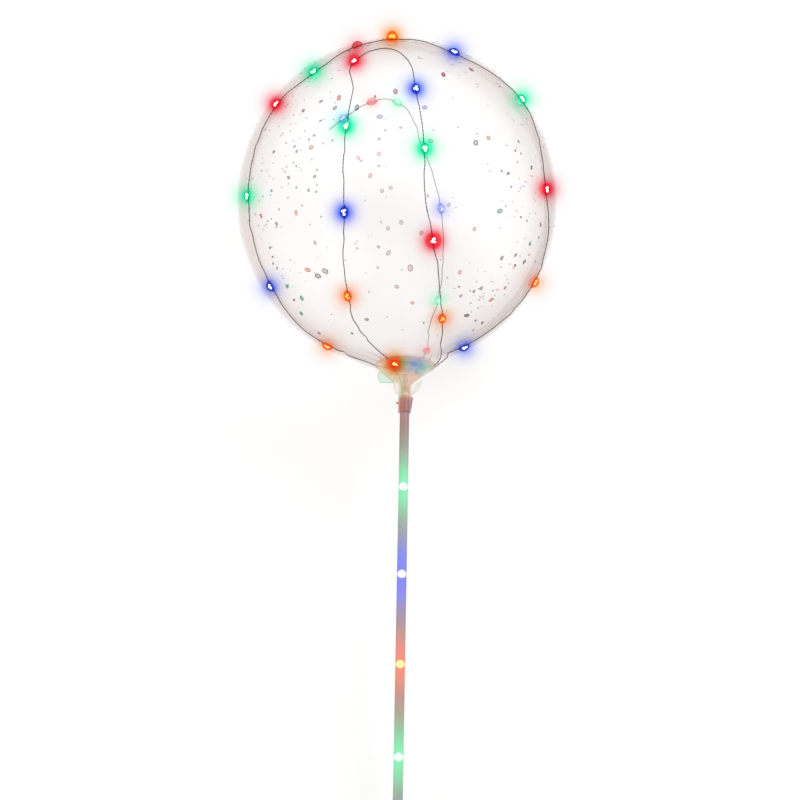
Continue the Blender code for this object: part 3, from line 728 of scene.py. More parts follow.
resins = {colour: resin_material(colour, *tones) for colour, tones in RESINS.items()}
dim_resins = {
    colour: resin_material("dim_" + colour, edge, glow, DIM_GLOW, glow, DIM_LAMP)
    for colour, (edge, glow, _, _, _) in RESINS.items()
}
faint_resins = {colour: resin_material("faint_" + colour, *tones) for colour, tones in FAINT_RESINS.items()}
dull_resins = {colour: resin_material("dull_" + colour, *tones) for colour, tones in DULL_RESINS.items()}
UNDER_CUP_LEVEL = 0.003
for number, (colour, place, heading, normal) in enumerate(bead_places, 1):
    name = f"bead_{number:02d}_{colour}"
    in_tube = place.z < -STICK_TOP_DEPTH
    in_cup = not in_tube and place.z < UNDER_CUP_LEVEL
    growth = DROP_GROWTH_IN_STICK if in_tube else DROP_GROWTH_UNDER_CUP if in_cup else DROP_GROWTH
    if number == CROWN_BEAD:
        growth = DROP_GROWTH_ON_CROWN
    bead = resin_drop("lit_" + name, growth, random.Random(number))
    turn = Matrix((heading, normal.cross(heading), normal)).transposed().to_4x4()
    bead.matrix_world = Matrix.Translation(place) @ turn
    if number in FAINT_BEADS:
        look = faint_resins[colour]
    elif number in DULL_BEADS:
        look = dull_resins[colour]
    elif in_tube:
        look = dim_resins[colour]
    elif in_cup:
        look = resins["flame"] if colour == "red" else dim_resins[colour]
    else:
        look = resins[colour]
    bead.data.materials.append(look)
    lay_down(bead, colour + "_resin", name, angle=180.0)

# The lamps' light on what is next to them: it tints the film, the cup and the milky stick round each bead.
# It is stored on the vertices of those pieces. The lamp in the cup's socket shows as a dull ember.
SOCKET_TOP_DEPTH = 0.0340
SOCKET_BOTTOM_DEPTH = 0.0560
BLUE_LAMP_SHARE = 1.5
GLOWS = {
    "red": (1.0, 0.10, 0.14), "green": (0.15, 0.98, 0.45), "blue": (0.15, 0.18, 0.93),
    "amber": (1.0, 0.19, 0.10), "ember": (0.34, 0.035, 0.025),
}


def paint_lamp_light(piece, reach, most, base=(1.0, 1.0, 1.0), pale=0.02):
    """Stores on each vertex the mixed colour of the lamps near it, and how strong their light is there."""
    places = np.array([LYING @ bead[1] for bead in bead_places])
    in_socket = [-SOCKET_BOTTOM_DEPTH < bead[1].z < -SOCKET_TOP_DEPTH for bead in bead_places]
    glows = np.array([GLOWS["ember" if hidden else bead[0]] for hidden, bead in zip(in_socket, bead_places)])
    spots = np.empty(len(piece.data.vertices) * 3)
    piece.data.vertices.foreach_get("co", spots)
    gaps = np.linalg.norm(spots.reshape(-1, 1, 3) - places[None], axis=2)
    weights = np.array([BLUE_LAMP_SHARE if bead[0] == "blue" else 1.0 for bead in bead_places])
    shares = np.exp(-((gaps / reach) ** 2)) * weights
    total = shares.sum(axis=1)
    colours = (shares @ glows + pale * np.array(base)) / (total + pale)[:, None]
    strength = np.minimum(total, 1.0) * most
    store = piece.data.color_attributes.new("lamp_light", "FLOAT_COLOR", "POINT")
    store.data.foreach_set("color", np.column_stack((colours, strength)).astype(np.float32).ravel())


paint_lamp_light(film, reach=0.0105, most=0.30)

# Droplets and specks that cling to the film: each one a small clear dome, round or drawn out. The tints of
# some are painted reflections of the lamps. The larger ones stand where the photograph shows them, the fine
# ones in drifts.
DROPLET_SIZE = 0.00043
DROPLET_RISE = 0.45
DROPLET_STRETCH = (1.0, 1.7)
DROPLET_MESH = (14, 8)
SPECK_SIZES = (1.2, 2.4)
SPECK_MESH = (7, 4)
SPECK_KINDS = ("clear", "clear", "clear", "clear", "rose", "green")
# The clear tint is the droplets' own; the rose, orange, green and blue ones are painted reflections of the
# lamps
DROPLET_TINTS_AND_REFLECTIONS = {
    "clear": (0.05, 0.045, 0.06), "rose": (0.30, 0.03, 0.08), "orange": (0.60, 0.10, 0.02),
    "green": (0.02, 0.32, 0.19), "blue": (0.06, 0.08, 0.40),
}
DROPLETS = {
    "clear": (
        (-22, 11, 5), (-28, 15, 4), (-35, 13, 5), (-27, 7, 3),
        (-47, 1, 4), (-31, 1, 3), (-29, 2, 3), (-37, 0, 3),
        (-36, -2, 4), (-40, -10, 4), (-28, -10, 3), (-29, -12, 4),
        (-32, -16, 4), (-29, -17, 3), (-37, -14, 3),
        (-22, -1, 3), (-12, -9, 3), (-6, -11, 3), (-8, 14, 3), (1, 2, 3), (-4, 1, 3), (27, 0, 7), (44, 29, 3),
        (46, 6, 3), (44, 2, 3), (47, 2, 3), (53, -1, 4), (38, -7, 3), (41, -7, 4), (43, -11, 3), (11, -20, 3),
        (-16, -37, 3), (-7, -37, 4), (-8, -44, 3), (-34, -43, 7), (-39, -44, 7), (-34, -33, 4), (-50, -23, 4),
        (-59, -29, 3), (-60, -32, 3), (-62, -34, 3), (-61, -36, 3), (49, -34, 5), (56, -31, 4), (59, -34, 4),
        (64, -31, 5), (34, -48, 3), (38, -51, 4), (44, -48, 4), (47, -46, 4), (52, -57, 6), (71, -56, 4),
        (63, -57, 3), (24, -65, 3), (51, -19, 3), (55, -19, 3), (67, -21, 3), (-22, -64, 5), (-45, -69, 4),
        (-14, 10, 6), (19, -22, 4), (10, -32, 5),
    ),
    "rose": (
        (-6, -2, 4), (-9, -14, 5), (-5, -19, 5), (-2, -18, 5), (-1, 16, 6), (-3, -31, 5), (2, -29, 5),
        (-3, -39, 5), (1, -51, 5), (7, -44, 7), (31, -28, 5), (-65, -48, 4), (17, 26, 6), (31, 33, 6),
        (72, -60, 3), (65, -17, 4), (-78, -62, 4), (62, -42, 4),
    ),
    "orange": (
        (-21, 15, 6), (-30, -2, 6), (-6, -7, 5), (32, 3, 6), (-43, -41, 6), (59, -48, 5), (-58, -18, 5),
        (-39, -22, 5), (31, -43, 5), (11, -57, 5), (-13, -8, 4),
    ),
    "green": ((11, -2, 6), (-58, -49, 6), (-70, -53, 6), (-62, -43, 5), (62, -25, 5), (40, -20, 6)),
    "blue": ((9, 10, 6), (-49, -12, 4), (-6, 6, 6)),
}
# Smears drawn out along the film: the clear ones are moisture, and the coloured ones are painted reflections
# of the lamps, painted glints. Each: azimuth, latitude, length and width
SMEAR_UNITS_PER_METRE = 900
SMEAR_TILT = 0.25
SMEAR_MESH = (12, 6)
SMEAR_AND_GLINT_TINTS = {
    "clear": (0.30, 0.24, 0.25), "rose": (0.85, 0.30, 0.42), "orange": (0.95, 0.42, 0.14),
    "green": (0.25, 0.85, 0.55), "blue": (0.42, 0.45, 0.90),
}
SMEARS_AND_GLINTS = {
    "green": (
        (-62, -4, 7, 1.2), (-55, -5, 5, 1.0), (-53, -1, 4, 1.0), (57, -11, 8, 1.3), (62, -11, 5, 1.2),
        (-35, 33, 6, 1.6), (-33, 37, 5, 1.3), (45, 21, 8, 1.2), (54, 27, 5, 1.1), (19, 28, 6, 1.1),
        (-37, 27, 5, 1.5), (-58, -44, 4, 1.5), (53, 20, 6, 1.1),
    ),
    "rose": (
        (53, -4, 8, 1.3), (50, -7, 5, 1.2), (-45, 18, 5, 1.4), (-43, 22, 4, 1.3), (-22, 44, 5, 1.2),
        (53, 43, 8, 1.1), (58, -44, 7, 1.4), (51, -49, 5, 1.2), (60, 1, 4, 1.2), (32, -49, 4, 1.0),
    ),
    "blue": (
        (-66, -13, 7, 2.2), (-69, -16, 6, 1.8), (-62, -16, 4, 1.4), (49, -9, 7, 1.3), (-16, 45, 5, 1.4),
        (59, -15, 5, 1.3), (35, 43, 6, 1.1), (-61, -40, 4, 1.3),
    ),
    "orange": (
        (-67, -10, 8, 1.3), (-57, -13, 5, 1.1), (-16, 48, 6, 1.5), (-10, 45, 7, 1.2), (65, -28, 4, 1.6),
        (-8, 50, 6, 1.1), (59, -35, 6, 1.3), (-36, 12, 4, 1.1),
    ),
    "clear": (
        (-25, 43, 6, 1.0), (9, 34, 6, 1.0), (14, 39, 5, 0.9), (22, 33, 6, 1.0), (27, 30, 5, 0.9),
        (-24, 29, 4, 0.9), (-26, 25, 4, 0.8), (31, 25, 5, 0.9), (3, 33, 7, 0.9), (43, 30, 5, 1.0),
        (45, 14, 5, 0.9), (-40, 9, 4, 0.9), (-44, 6, 4, 0.9),
    ),
}
# Each drift: its middle azimuth and latitude, its spread both ways, and its count
DRIFTS = (
    (-42, -4, 9, 11, 34), (-56, -22, 6, 10, 16), (-30, 14, 8, 7, 12),
    (48, -48, 8, 7, 26), (56, -26, 7, 9, 14),
    (50, -6, 8, 8, 12), (-4, -30, 12, 14, 12), (-40, -40, 14, 8, 10),
    (20, 20, 22, 12, 10), (150, 0, 40, 30, 30),
    (-140, -10, 40, 30, 30), (100, 20, 20, 25, 12), (-100, 10, 20, 25, 12), (-45, 44, 12, 6, 20),
    (0, 50, 16, 5, 12), (40, 46, 14, 6, 16), (62, 24, 7, 8, 12), (-62, 8, 6, 12, 14),
)


def add_droplet(azimuth, latitude, size, tint, sides, rings, smear=None):
    """One dome on the film, turned and drawn out by chance, or a level smear, which may be a painted glint;
    returns it unjoined.
    """
    place, normal = on_body(azimuth, latitude)
    place -= normal * WIRE_LIFT
    bpy.ops.mesh.primitive_uv_sphere_add(segments=sides, ring_count=rings, radius=1.0)
    made = bpy.context.object
    level = Vector((0.0, 0.0, 1.0)).cross(normal).normalized()
    turn = Matrix((level, normal.cross(level), normal)).transposed().to_4x4()
    if smear:
        shape = Matrix.Diagonal((smear / 2, size, size * DROPLET_RISE, 1.0))
        angle = wander.uniform(-SMEAR_TILT, SMEAR_TILT)
    else:
        shape = Matrix.Diagonal((size, size * wander.uniform(*DROPLET_STRETCH), size * DROPLET_RISE, 1.0))
        angle = wander.uniform(0.0, math.pi)
    made.data.transform(Matrix.Translation(place) @ turn @ Matrix.Rotation(angle, 4, "Z") @ shape)
    store = made.data.color_attributes.new("tint", "FLOAT_COLOR", "POINT")
    store.data.foreach_set("color", [*tint, 1.0] * len(made.data.vertices))
    return made


droplets = []
for kind, spots in DROPLETS.items():
    for azimuth, latitude, size in spots:
        tint = DROPLET_TINTS_AND_REFLECTIONS[kind]
        droplets.append(add_droplet(azimuth, latitude, size * DROPLET_SIZE, tint, *DROPLET_MESH))
# The coloured smears are painted glints, reflections of the lamps; the clear ones are moisture
for kind, spots in SMEARS_AND_GLINTS.items():
    for azimuth, latitude, length, width in spots:
        tint = SMEAR_AND_GLINT_TINTS[kind]
        sizes = (width / 2 / SMEAR_UNITS_PER_METRE, length / SMEAR_UNITS_PER_METRE)
        droplets.append(add_droplet(azimuth, latitude, sizes[0], tint, *SMEAR_MESH, sizes[1]))
for azimuth, latitude, wide, high, count in DRIFTS:
    for _ in range(count):
        size = wander.uniform(*SPECK_SIZES) * DROPLET_SIZE
        spot = (wander.gauss(azimuth, wide), wander.gauss(latitude, high))
        tint = DROPLET_TINTS_AND_REFLECTIONS[wander.choice(SPECK_KINDS)]
        droplets.append(add_droplet(*spot, size, tint, *SPECK_MESH))
drops = join_pieces(droplets, "film_droplets_and_glints")
made, tree = new_material("clear_droplet_and_glint")
tint = add_node(tree, "Attribute", attribute_name="tint").outputs["Color"]
slant = facing(tree)
bend = colour_ramp(tree, slant, ((0.10, 0.06), (0.28, 0.42), (0.48, 1.0), (0.95, 0.85)))
middle_glass = add_node(tree, "BsdfPrincipled", Base_Color=tint, Roughness=0.02, Alpha=0.12, IOR=1.33)
edge_glass = add_node(tree, "BsdfPrincipled", Base_Color=tint, Roughness=0.05, Alpha=0.84, IOR=1.33)
set_finish(made, mix_shaders(tree, bend, middle_glass, edge_glass), drops)
lay_down(drops, "clear_film", angle=180.0)

# The cup: one clear moulding, a shallow funnel that runs down into a stem and a socket for the stick.
# Its rolled lip has notches for the wire, and the socket carries a small tab and a knob.
CUP_WALL = 0.0013
STEM_RADIUS = 0.0070
SOCKET_RADIUS = 0.0074
NOTCH_WIDTH = 0.0022
NOTCH_DEPTH = 0.0042
NOTCH_LENGTH = 0.0120
TAB_LENGTH = 0.0140
TAB_REACH = 0.0020
TAB_WIDTH = 0.0030
TAB_TAPER = 0.8
KNOB_RADIUS = 0.0016
KNOB_REACH = 0.0022
ROOT = 0.0008
SOFT_EDGE = 0.0004
SOCKET_STEP = 0.002
CUP_SIDES = 96
LIP_STEPS = 12
FUNNEL_STEPS = 6
SOCKET_STEPS = 4
FUNNEL_TILT = math.atan2(FUNNEL_DEPTH, RIM_RADIUS - STEM_RADIUS)
SOCKET_BORE = STICK_RADIUS + CLEARANCE
STEM_BORE = STICK_RADIUS - CLEARANCE


def funnel_line(radius, side):
    middle = -(RIM_RADIUS - radius) * math.tan(FUNNEL_TILT)
    return radius, middle - side * CUP_WALL / 2 / math.cos(FUNNEL_TILT)


def cup_outline():
    """The wall in section: round the lip, down the outside and back up the inside."""
    half = math.degrees(math.asin(CUP_WALL / 2 / LIP_RADIUS))
    inner_meets = 180 + math.degrees(FUNNEL_TILT) - half
    outer_meets = math.degrees(FUNNEL_TILT) - 180 + half
    points = []
    for step in range(LIP_STEPS + 1):
        angle = math.radians(inner_meets + (outer_meets - inner_meets) * step / LIP_STEPS)
        points.append((RIM_RADIUS + LIP_RADIUS * math.cos(angle), LIP_RADIUS * math.sin(angle)))
    for step in (0.4, *range(1, FUNNEL_STEPS + 1)):
        points.append(funnel_line(RIM_RADIUS + (STEM_RADIUS - RIM_RADIUS) * step / FUNNEL_STEPS, 1))
    points.append((STEM_RADIUS, -SOCKET_TOP_DEPTH))
    points.append((SOCKET_RADIUS, -SOCKET_TOP_DEPTH - (SOCKET_RADIUS - STEM_RADIUS)))
    wall_top = -SOCKET_TOP_DEPTH - SOCKET_STEP
    for step in range(SOCKET_STEPS + 1):
        points.append((SOCKET_RADIUS, wall_top - (SOCKET_BOTTOM_DEPTH + wall_top) * step / SOCKET_STEPS))
    points.append((SOCKET_BORE, -SOCKET_BOTTOM_DEPTH))
    points.append((SOCKET_BORE, -STICK_TOP_DEPTH + CLEARANCE))
    points.append((STEM_BORE, -STICK_TOP_DEPTH + CLEARANCE))
    mouth = RIM_RADIUS - LIP_RADIUS
    for step in range(FUNNEL_STEPS + 1):
        points.append(funnel_line(STEM_BORE + (mouth - STEM_BORE) * step / FUNNEL_STEPS, -1))
    return points


def start_ring(name, sides, radius, height):
    """Starts a turned piece: one ring of edges round the stick's axis, selected, in edit mode."""
    bpy.ops.object.select_all(action="DESELECT")
    bpy.ops.mesh.primitive_circle_add(vertices=sides, radius=radius, location=(0.0, 0.0, height))
    piece = named(bpy.context.object, name)
    apply_place()
    bpy.ops.object.mode_set(mode="EDIT")
    bpy.ops.mesh.select_all(action="SELECT")
    return piece


def apply_boolean(piece, tool, operation):
    """Adds or cuts away the tool, and removes it."""
    step = piece.modifiers.new(tool.name, "BOOLEAN")
    step.operation = operation
    step.object = tool
    bpy.ops.object.select_all(action="DESELECT")
    bpy.context.view_layer.objects.active = piece
    piece.select_set(True)
    bpy.ops.object.modifier_apply(modifier=step.name)
    bpy.data.objects.remove(tool)


outline = cup_outline()
cup = start_ring("clear_cup", CUP_SIDES, *outline[0])
draw_out(outline + outline[:1])
close_up(cup)
middle = -(SOCKET_TOP_DEPTH + SOCKET_BOTTOM_DEPTH) / 2
bpy.ops.mesh.primitive_cube_add(size=1.0, location=(SOCKET_RADIUS + (TAB_REACH - ROOT) / 2, 0.0, middle))
tab = bpy.context.object
tab.scale = (TAB_REACH + ROOT, TAB_WIDTH, TAB_LENGTH)
apply_place()
for point in tab.data.vertices:
    if point.co.x > SOCKET_RADIUS and point.co.z < middle:
        point.co.x -= TAB_REACH * TAB_TAPER
bevel = tab.modifiers.new("soft_edges", "BEVEL")
bevel.width = SOFT_EDGE
bevel.segments = 3
bpy.ops.object.modifier_apply(modifier=bevel.name)
apply_boolean(cup, tab, "UNION")
bpy.ops.mesh.primitive_uv_sphere_add(segments=20, ring_count=12, radius=1.0)
knob = bpy.context.object
knob.scale = (KNOB_REACH + ROOT, KNOB_RADIUS, KNOB_RADIUS)
knob.location = (-SOCKET_RADIUS, 0.0, middle)
apply_place()
inner = SOCKET_BORE + CLEARANCE
for point in knob.data.vertices:
    point.co.x = min(point.co.x, -inner)
apply_boolean(cup, knob, "UNION")
for azimuth in NOTCHES.values():
    bpy.ops.mesh.primitive_cube_add(size=1.0, location=(0.0, 0.0, 0.0))
    notch = bpy.context.object
    notch.data.transform(Matrix.Diagonal((NOTCH_WIDTH, NOTCH_LENGTH, NOTCH_DEPTH * 2, 1.0)))
    notch.data.transform(Matrix.Translation((0.0, -RIM_RADIUS - 2 * LIP_RADIUS + NOTCH_LENGTH / 2, 0.0)))
    notch.data.transform(Matrix.Rotation(math.radians(azimuth), 4, "Z"))
    apply_boolean(cup, notch, "DIFFERENCE")
lay_down(cup, "clear_cup", "cup")
paint_lamp_light(cup, reach=0.013, most=0.42, base=(0.75, 0.50, 0.40), pale=0.35)
# The lip is painted as a thin brown line, painted light and shade for its clear rolled edge; the stem is
# painted with the lamps' light, yellow-green on the left and orange-pink on the right; and the lamp in the
# socket lights its wall, its tab and its knob
PAINTED_LIP_LINE = (0.58, 0.42, 0.35, 0.50)
TAB_TONE = (0.45, 0.012, 0.03, 0.85)
KNOB_TONE = (0.85, 0.22, 0.12, 0.70)
SOCKET_TONES = ((0.58, 0.150, 0.110), (0.34, 0.150, 0.190))
SOCKET_LIGHT = 0.58
SOCKET_LIGHT_FADE = 0.009
# The stem's tones are painted lamp light
STEM_LAMP_LIGHT_TONES = ((0.78, 0.80, 0.48), (0.94, 0.56, 0.38))
STEM_LIGHT = 0.26
STEM_LIGHT_TOP = 0.014
store = cup.data.color_attributes["lamp_light"]
upright = LYING.inverted()
for point in cup.data.vertices:
    drawn = upright @ point.co
    if drawn.z > -LIP_RADIUS and drawn.xy.length > RIM_RADIUS - LIP_RADIUS / 2:
        store.data[point.index].color = PAINTED_LIP_LINE
    elif drawn.z < -STEM_LIGHT_TOP:
        to_right = soft_step((drawn.x / SOCKET_RADIUS + 1.0) / 2)
        deep = soft_step((-drawn.z - SOCKET_TOP_DEPTH) / SOCKET_LIGHT_FADE)
        stem = Vector(STEM_LAMP_LIGHT_TONES[0]).lerp(Vector(STEM_LAMP_LIGHT_TONES[1]), to_right)
        socket = Vector(SOCKET_TONES[0]).lerp(Vector(SOCKET_TONES[1]), to_right)
        light = STEM_LIGHT + (SOCKET_LIGHT - STEM_LIGHT) * deep
        store.data[point.index].color = (*stem.lerp(socket, deep), light)
        if drawn.z < -SOCKET_TOP_DEPTH and abs(drawn.x) > SOCKET_RADIUS + CLEARANCE:
            store.data[point.index].color = TAB_TONE if drawn.x > 0.0 else KNOB_TONE

# Its colour from the left to the right, yellow-green on the left and beige-pink on the right, is painted lamp
# light on the hazy wall; and how dense the wall is where it slants away
CUP_HAZE_LAMP_TINTS = ((0.2, (0.80, 0.82, 0.52)), (0.5, (0.88, 0.80, 0.66)), (0.8, (0.78, 0.58, 0.50)))
CUP_DENSITY = ((0.25, 0.05), (0.55, 0.35), (0.80, 1.0))
made, tree = new_material("moulded_cup")
slant = facing(tree)
across = across_with_noise(tree, RIM_RADIUS, levels=(-0.3, 0.7), noise_share=0.6, scale=90.0, detail=2.0)
# The wall's colour across it is painted lamp light
lamp_tinted_haze = colour_ramp(tree, across, CUP_HAZE_LAMP_TINTS)
face_on = add_node(tree, "BsdfPrincipled", Base_Color=lamp_tinted_haze, Roughness=0.12, Alpha=0.07, IOR=1.49)
edge_on = add_node(tree, "BsdfPrincipled", Base_Color=lamp_tinted_haze, Roughness=0.12, Alpha=0.60, IOR=1.49)
clear = mix_shaders(tree, colour_ramp(tree, slant, CUP_DENSITY), face_on, edge_on)
set_finish(made, with_lamp_light(tree, clear, Roughness=0.2, IOR=1.49), cup)

# The film's loose end: under the funnel the gathered tail comes out beside the stem. It lies round the stem
# as a loose sleeve, and one flap of it sticks out to the left, where a green lamp lights it.
SLEEVE_OUTLINE = (
    (0.0168, -0.0165), (0.0163, -0.0205), (0.0152, -0.0250),
    (0.0142, -0.0285), (0.0115, -0.0325), (0.0080, -0.0345),
)
SLEEVE_SHIFT = 0.0020
SLEEVE_SIDES = 64
SLEEVE_LOOSE_LENGTH = 0.012
# Its folds: how deep, how many round it and where they start
SLEEVE_FOLDS = ((0.05, 3, 0.8), (0.03, 7, 0.0))
FILM_THICKNESS = 0.0003
FLAP_CORNERS = (
    (-0.0295, -0.0058), (-0.0320, -0.0132), (-0.0290, -0.0213), (-0.0129, -0.0208), (-0.0136, -0.0184),
)
FLAP_WAVE = 0.0015
FLAP_INSETS = (0.0011, 0.0006)
FLAP_RIM = 0.0008
SLEEVE_LIGHT = (0.97, 0.90, 0.78, 0.04)
FLAP_COLOUR = (0.10, 0.80, 0.50)
FLAP_RIM_LIGHT = 0.80
FLAP_LIGHT = 0.14
sleeve = start_ring("film_tail", SLEEVE_SIDES, *SLEEVE_OUTLINE[0])
inside = [(radius - FILM_THICKNESS, height) for radius, height in reversed(SLEEVE_OUTLINE)]
draw_out([*SLEEVE_OUTLINE, *inside, SLEEVE_OUTLINE[0]])
close_up(sleeve)
for point in sleeve.data.vertices:
    turn = math.atan2(point.co.y, point.co.x)
    loose = soft_step((point.co.z - SLEEVE_OUTLINE[-1][1]) / SLEEVE_LOOSE_LENGTH)
    fold = 1.0 + loose * sum(depth * math.cos(count * turn + start) for depth, count, start in SLEEVE_FOLDS)
    point.co.x = point.co.x * fold + SLEEVE_SHIFT * loose
    point.co.y *= fold
bpy.ops.mesh.primitive_circle_add(vertices=len(FLAP_CORNERS), radius=0.01, fill_type="NGON")
flap = bpy.context.object
for point, (across_x, height) in zip(flap.data.vertices, FLAP_CORNERS):
    point.co = (across_x, wander.uniform(-FLAP_WAVE, FLAP_WAVE), height)
bpy.ops.object.mode_set(mode="EDIT")
bpy.ops.mesh.select_all(action="SELECT")
for width in FLAP_INSETS:
    bpy.ops.mesh.inset(thickness=width)
bpy.ops.object.mode_set(mode="OBJECT")
shell = flap.modifiers.new("thickness", "SOLIDIFY")
shell.thickness = FILM_THICKNESS
bpy.ops.object.modifier_apply(modifier=shell.name)
store = sleeve.data.color_attributes.new("lamp_light", "FLOAT_COLOR", "POINT")
store.data.foreach_set("color", SLEEVE_LIGHT * len(sleeve.data.vertices))
store = flap.data.color_attributes.new("lamp_light", "FLOAT_COLOR", "POINT")
corners = [Vector((x, 0.0, z)) for x, z in FLAP_CORNERS]
for point in flap.data.vertices:
    near = min((Vector((point.co.x, 0.0, point.co.z)) - corner).length for corner in corners)
    store.data[point.index].color = (*FLAP_COLOUR, FLAP_RIM_LIGHT if near < FLAP_RIM else FLAP_LIGHT)
join_pieces([sleeve, flap], "film_tail")
made, tree = new_material("loose_film")
slant = facing(tree)
tint = colour_ramp(tree, noise(tree, 120.0, 2.0), ((0.35, (0.72, 0.66, 0.48)), (0.65, (0.68, 0.52, 0.44))))
density = colour_ramp(tree, slant, ((0.30, 0.03), (0.70, 0.10), (0.88, 0.40)))
loose = add_node(tree, "BsdfPrincipled", Base_Color=tint, Roughness=0.15, IOR=1.45, Alpha=density)
set_finish(made, with_lamp_light(tree, loose, Roughness=0.4), sleeve)
lay_down(sleeve, "clear_film")

# The stick: one milky plastic tube, in the cup's socket above and in the handle's collar below.
# The string's lamps stand inside it, so it glows in their colours and shows each lamp as a bright spot.
STICK_BOTTOM = -0.622
STICK_SIDES = 64
STICK_RING_STEP = 0.00125
SPOT_RADIUS = 0.0045
SPOT_SOFTNESS = 0.0009
SPOT_WIDENING = 0.92
SPOT_TINTS = {
    "red": (1.0, 0.8, 0.7), "green": (0.86, 1.0, 0.96), "blue": (0.92, 0.95, 1.0), "amber": (1.0, 0.84, 0.30),
}
rings = round((-STICK_BOTTOM - STICK_TOP_DEPTH) / STICK_RING_STEP)
stick = start_ring("milky_stick", STICK_SIDES, STICK_RADIUS, -STICK_TOP_DEPTH)
fall = (STICK_BOTTOM + STICK_TOP_DEPTH) / rings
draw_out(
    [(STICK_RADIUS, -STICK_TOP_DEPTH + fall * step) for step in range(rings + 1)]
    + [(STICK_BORE, STICK_BOTTOM), (STICK_BORE, -STICK_TOP_DEPTH), (STICK_RADIUS, -STICK_TOP_DEPTH)]
)
close_up(stick)
lay_down(stick, "frosted_tube", "stick")
paint_lamp_light(stick, reach=0.036, most=0.95, base=(0.9, 0.85, 0.8), pale=0.12)
spot_light = np.zeros((len(stick.data.vertices), 4), dtype=np.float32)
for point in stick.data.vertices:
    drawn = upright @ point.co
    for colour, place, _, _ in bead_places:
        inside = SPOT_RADIUS + SPOT_SOFTNESS - math.hypot(drawn.x * SPOT_WIDENING, drawn.z - place.z)
        if inside > 0.0 and place.z < -SOCKET_BOTTOM_DEPTH:
            spot_light[point.index] = (*SPOT_TINTS[colour], soft_step(inside / SPOT_SOFTNESS / 2))
store = stick.data.color_attributes.new("lamp_spot", "FLOAT_COLOR", "POINT")
store.data.foreach_set("color", spot_light.ravel())
made, tree = new_material("milky_tube")
milk = colour_ramp(tree, noise(tree, 55.0, 4.0), ((0.3, (0.27, 0.22, 0.195)), (0.7, (0.33, 0.275, 0.25))))
lamp = add_node(tree, "Attribute", attribute_name="lamp_light").outputs
lit_milk = mix_colours(tree, lamp["Alpha"], milk, lamp["Color"])
spot = add_node(tree, "Attribute", attribute_name="lamp_spot").outputs
hot_milk = mix_colours(tree, spot["Alpha"], lit_milk, spot["Color"])
own_light = add_node(tree, "MapRange", To_Max=0.12, Value=spot["Alpha"])
tube = add_node(
    tree,
    "BsdfPrincipled",
    Base_Color=hot_milk,
    Roughness=0.42,
    Alpha=0.90,
    IOR=1.49,
    Emission_Color=(1.0, 1.0, 1.0, 1.0),
    Emission_Strength=own_light.outputs["Result"],
)
set_finish(made, tube, stick)

# The handle and its cover: two white mouldings with a fine satin texture. The handle's collar takes the
# stick, and the cover lies in a frame over the bay for the cells. Both keep the shapes of the CAD.
made, tree = new_material("white_plastic")
white = colour_ramp(tree, noise(tree, 30.0, 3.0), ((0.3, (0.68, 0.67, 0.65)), (0.7, (0.76, 0.75, 0.73))))
skin = add_node(tree, "Bump", Strength=0.15, Distance=0.0002, Height=noise(tree, 1400.0, 2.0))
plastic = add_node(tree, "BsdfPrincipled", Base_Color=white, Roughness=0.38, Normal=skin.outputs["Normal"])
set_finish(made, plastic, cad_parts["battery_handle"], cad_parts["battery_cover"])

# The setting: a plain white floor, an even soft studio light, and the camera where the photograph has it,
# straight on and a little below the cup, which is a view down on the lying balloon.
FLOOR_SIZE = 12.0
FLOOR_DEPTH = 0.0004
SKY_COLOUR = (1.0, 0.99, 0.985, 1.0)
SKY_STRENGTH = 0.82
SOFT_BOX_SIZE = 1.6
SOFT_BOX_AIM = Vector((0.0, 0.0, 0.15))
VIEW_SLOPE = 17.0
VIEW_ROLL = 1.0
VIEW_DISTANCE = 2.0
VIEW_CENTRE = Vector((0.0, 0.0, -0.0412))
SENSOR_WIDTH = 36.0
LENS_LENGTH = 78.5
LENS_SHIFT = -0.006
bpy.ops.mesh.primitive_plane_add(size=FLOOR_SIZE, location=(0.0, 0.0, -FLOOR_DEPTH))
floor = bpy.context.object
floor.name = "floor"
made, tree = new_material("white_floor")
paint = add_node(
    tree, "BsdfPrincipled", Base_Color=(0.93, 0.93, 0.925, 1.0), Roughness=0.9, Specular_IOR_Level=0.1
)
set_finish(made, paint, floor)
floor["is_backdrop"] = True

world = bpy.data.worlds.new("studio")
bpy.context.scene.world = world
world.use_nodes = True
world.node_tree.nodes["Background"].inputs["Color"].default_value = SKY_COLOUR
world.node_tree.nodes["Background"].inputs["Strength"].default_value = SKY_STRENGTH


def soft_box(name, place, power):
    """A large soft lamp that faces the balloon."""
    lamp = bpy.data.lights.new(name, "AREA")
    lamp.shape = "SQUARE"
    lamp.size = SOFT_BOX_SIZE
    lamp.energy = power
    made = bpy.data.objects.new(name, lamp)
    made.location = place
    made.rotation_euler = (Vector(place) - SOFT_BOX_AIM).to_track_quat("Z", "Y").to_euler()
    bpy.context.scene.collection.objects.link(made)


soft_box("soft_box_right", (1.5, 0.6, 2.2), 26.0)
soft_box("soft_box_left", (-2.0, -0.8, 1.8), 14.0)

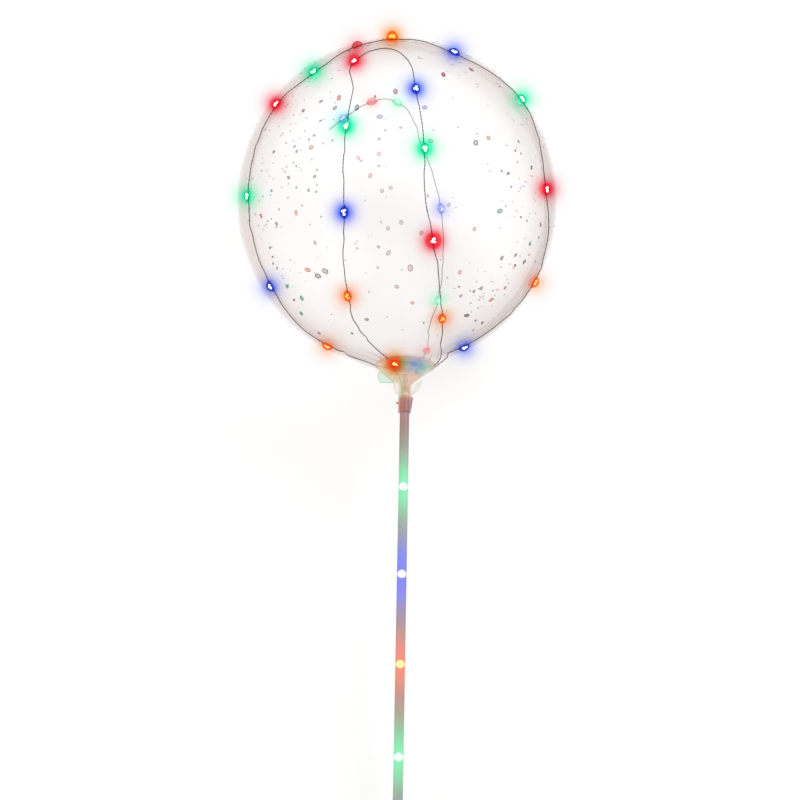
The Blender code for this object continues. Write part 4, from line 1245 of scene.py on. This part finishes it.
slope = math.radians(VIEW_SLOPE)
roll = math.radians(VIEW_ROLL)
ahead = Vector((0.0, math.cos(slope), math.sin(slope)))
level = Vector((1.0, 0.0, 0.0))
upward = Vector((0.0, -math.sin(slope), math.cos(slope)))
right = level * math.cos(roll) + upward * math.sin(roll)
up = upward * math.cos(roll) - level * math.sin(roll)
stand = Matrix((right, up, -ahead)).transposed().to_4x4()
stand.translation = VIEW_CENTRE - ahead * VIEW_DISTANCE
lens = bpy.data.cameras.new("camera")
lens.sensor_width = SENSOR_WIDTH
lens.lens = LENS_LENGTH
lens.shift_x = LENS_SHIFT
camera = bpy.data.objects.new("camera", lens)
camera.matrix_world = LYING @ stand
bpy.context.scene.collection.objects.link(camera)
bpy.context.scene.camera = camera
bpy.context.scene.view_settings.view_transform = "Standard"

# The lens glow round each lit bead. On a white ground it shows as colour, so it takes away the light of the
# other colours. What the beads give off themselves is left out of that and laid on again.
HALO_SIZES = ((14.0, 1.6), (25.0, 10.0))
HALO_LIMIT = 0.92
bpy.context.view_layer.use_pass_emit = True
bpy.context.scene.use_nodes = True
glow = bpy.context.scene.node_tree
glow.nodes.clear()
layers = glow.nodes.new("CompositorNodeRLayers")


def blend(kind, first, second, clamp=False):
    """Two pictures blended; the second may be one number."""
    made = glow.nodes.new("CompositorNodeMixRGB")
    made.blend_type = kind
    made.use_clamp = clamp
    glow.links.new(first, made.inputs[1])
    if isinstance(second, float):
        made.inputs[2].default_value = (second, second, second, 1.0)
    else:
        glow.links.new(second, made.inputs[2])
    return made.outputs["Image"]


halos = []
for size, weight in HALO_SIZES:
    blur = glow.nodes.new("CompositorNodeBlur")
    blur.filter_type = "FAST_GAUSS"
    blur.inputs["Size"].default_value = (size, size)
    glow.links.new(layers.outputs["Emit"], blur.inputs["Image"])
    halos.append(blend("MULTIPLY", blur.outputs["Image"], weight))
halo = blend("ADD", *halos)
brightest = glow.nodes.new("CompositorNodeSeparateColor")
brightest.mode = "HSV"
glow.links.new(halo, brightest.inputs["Image"])
taken = blend("SUBTRACT", brightest.outputs["Blue"], halo, clamp=True)
left = glow.nodes.new("CompositorNodeInvert")
glow.links.new(blend("MULTIPLY", taken, HALO_LIMIT), left.inputs["Color"])
unlit = blend("SUBTRACT", layers.outputs["Image"], layers.outputs["Emit"], clamp=True)
tinted = blend("MULTIPLY", unlit, left.outputs["Color"])
picture = glow.nodes.new("CompositorNodeComposite")
glow.links.new(blend("ADD", tinted, layers.outputs["Emit"]), picture.inputs["Image"])

low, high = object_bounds()
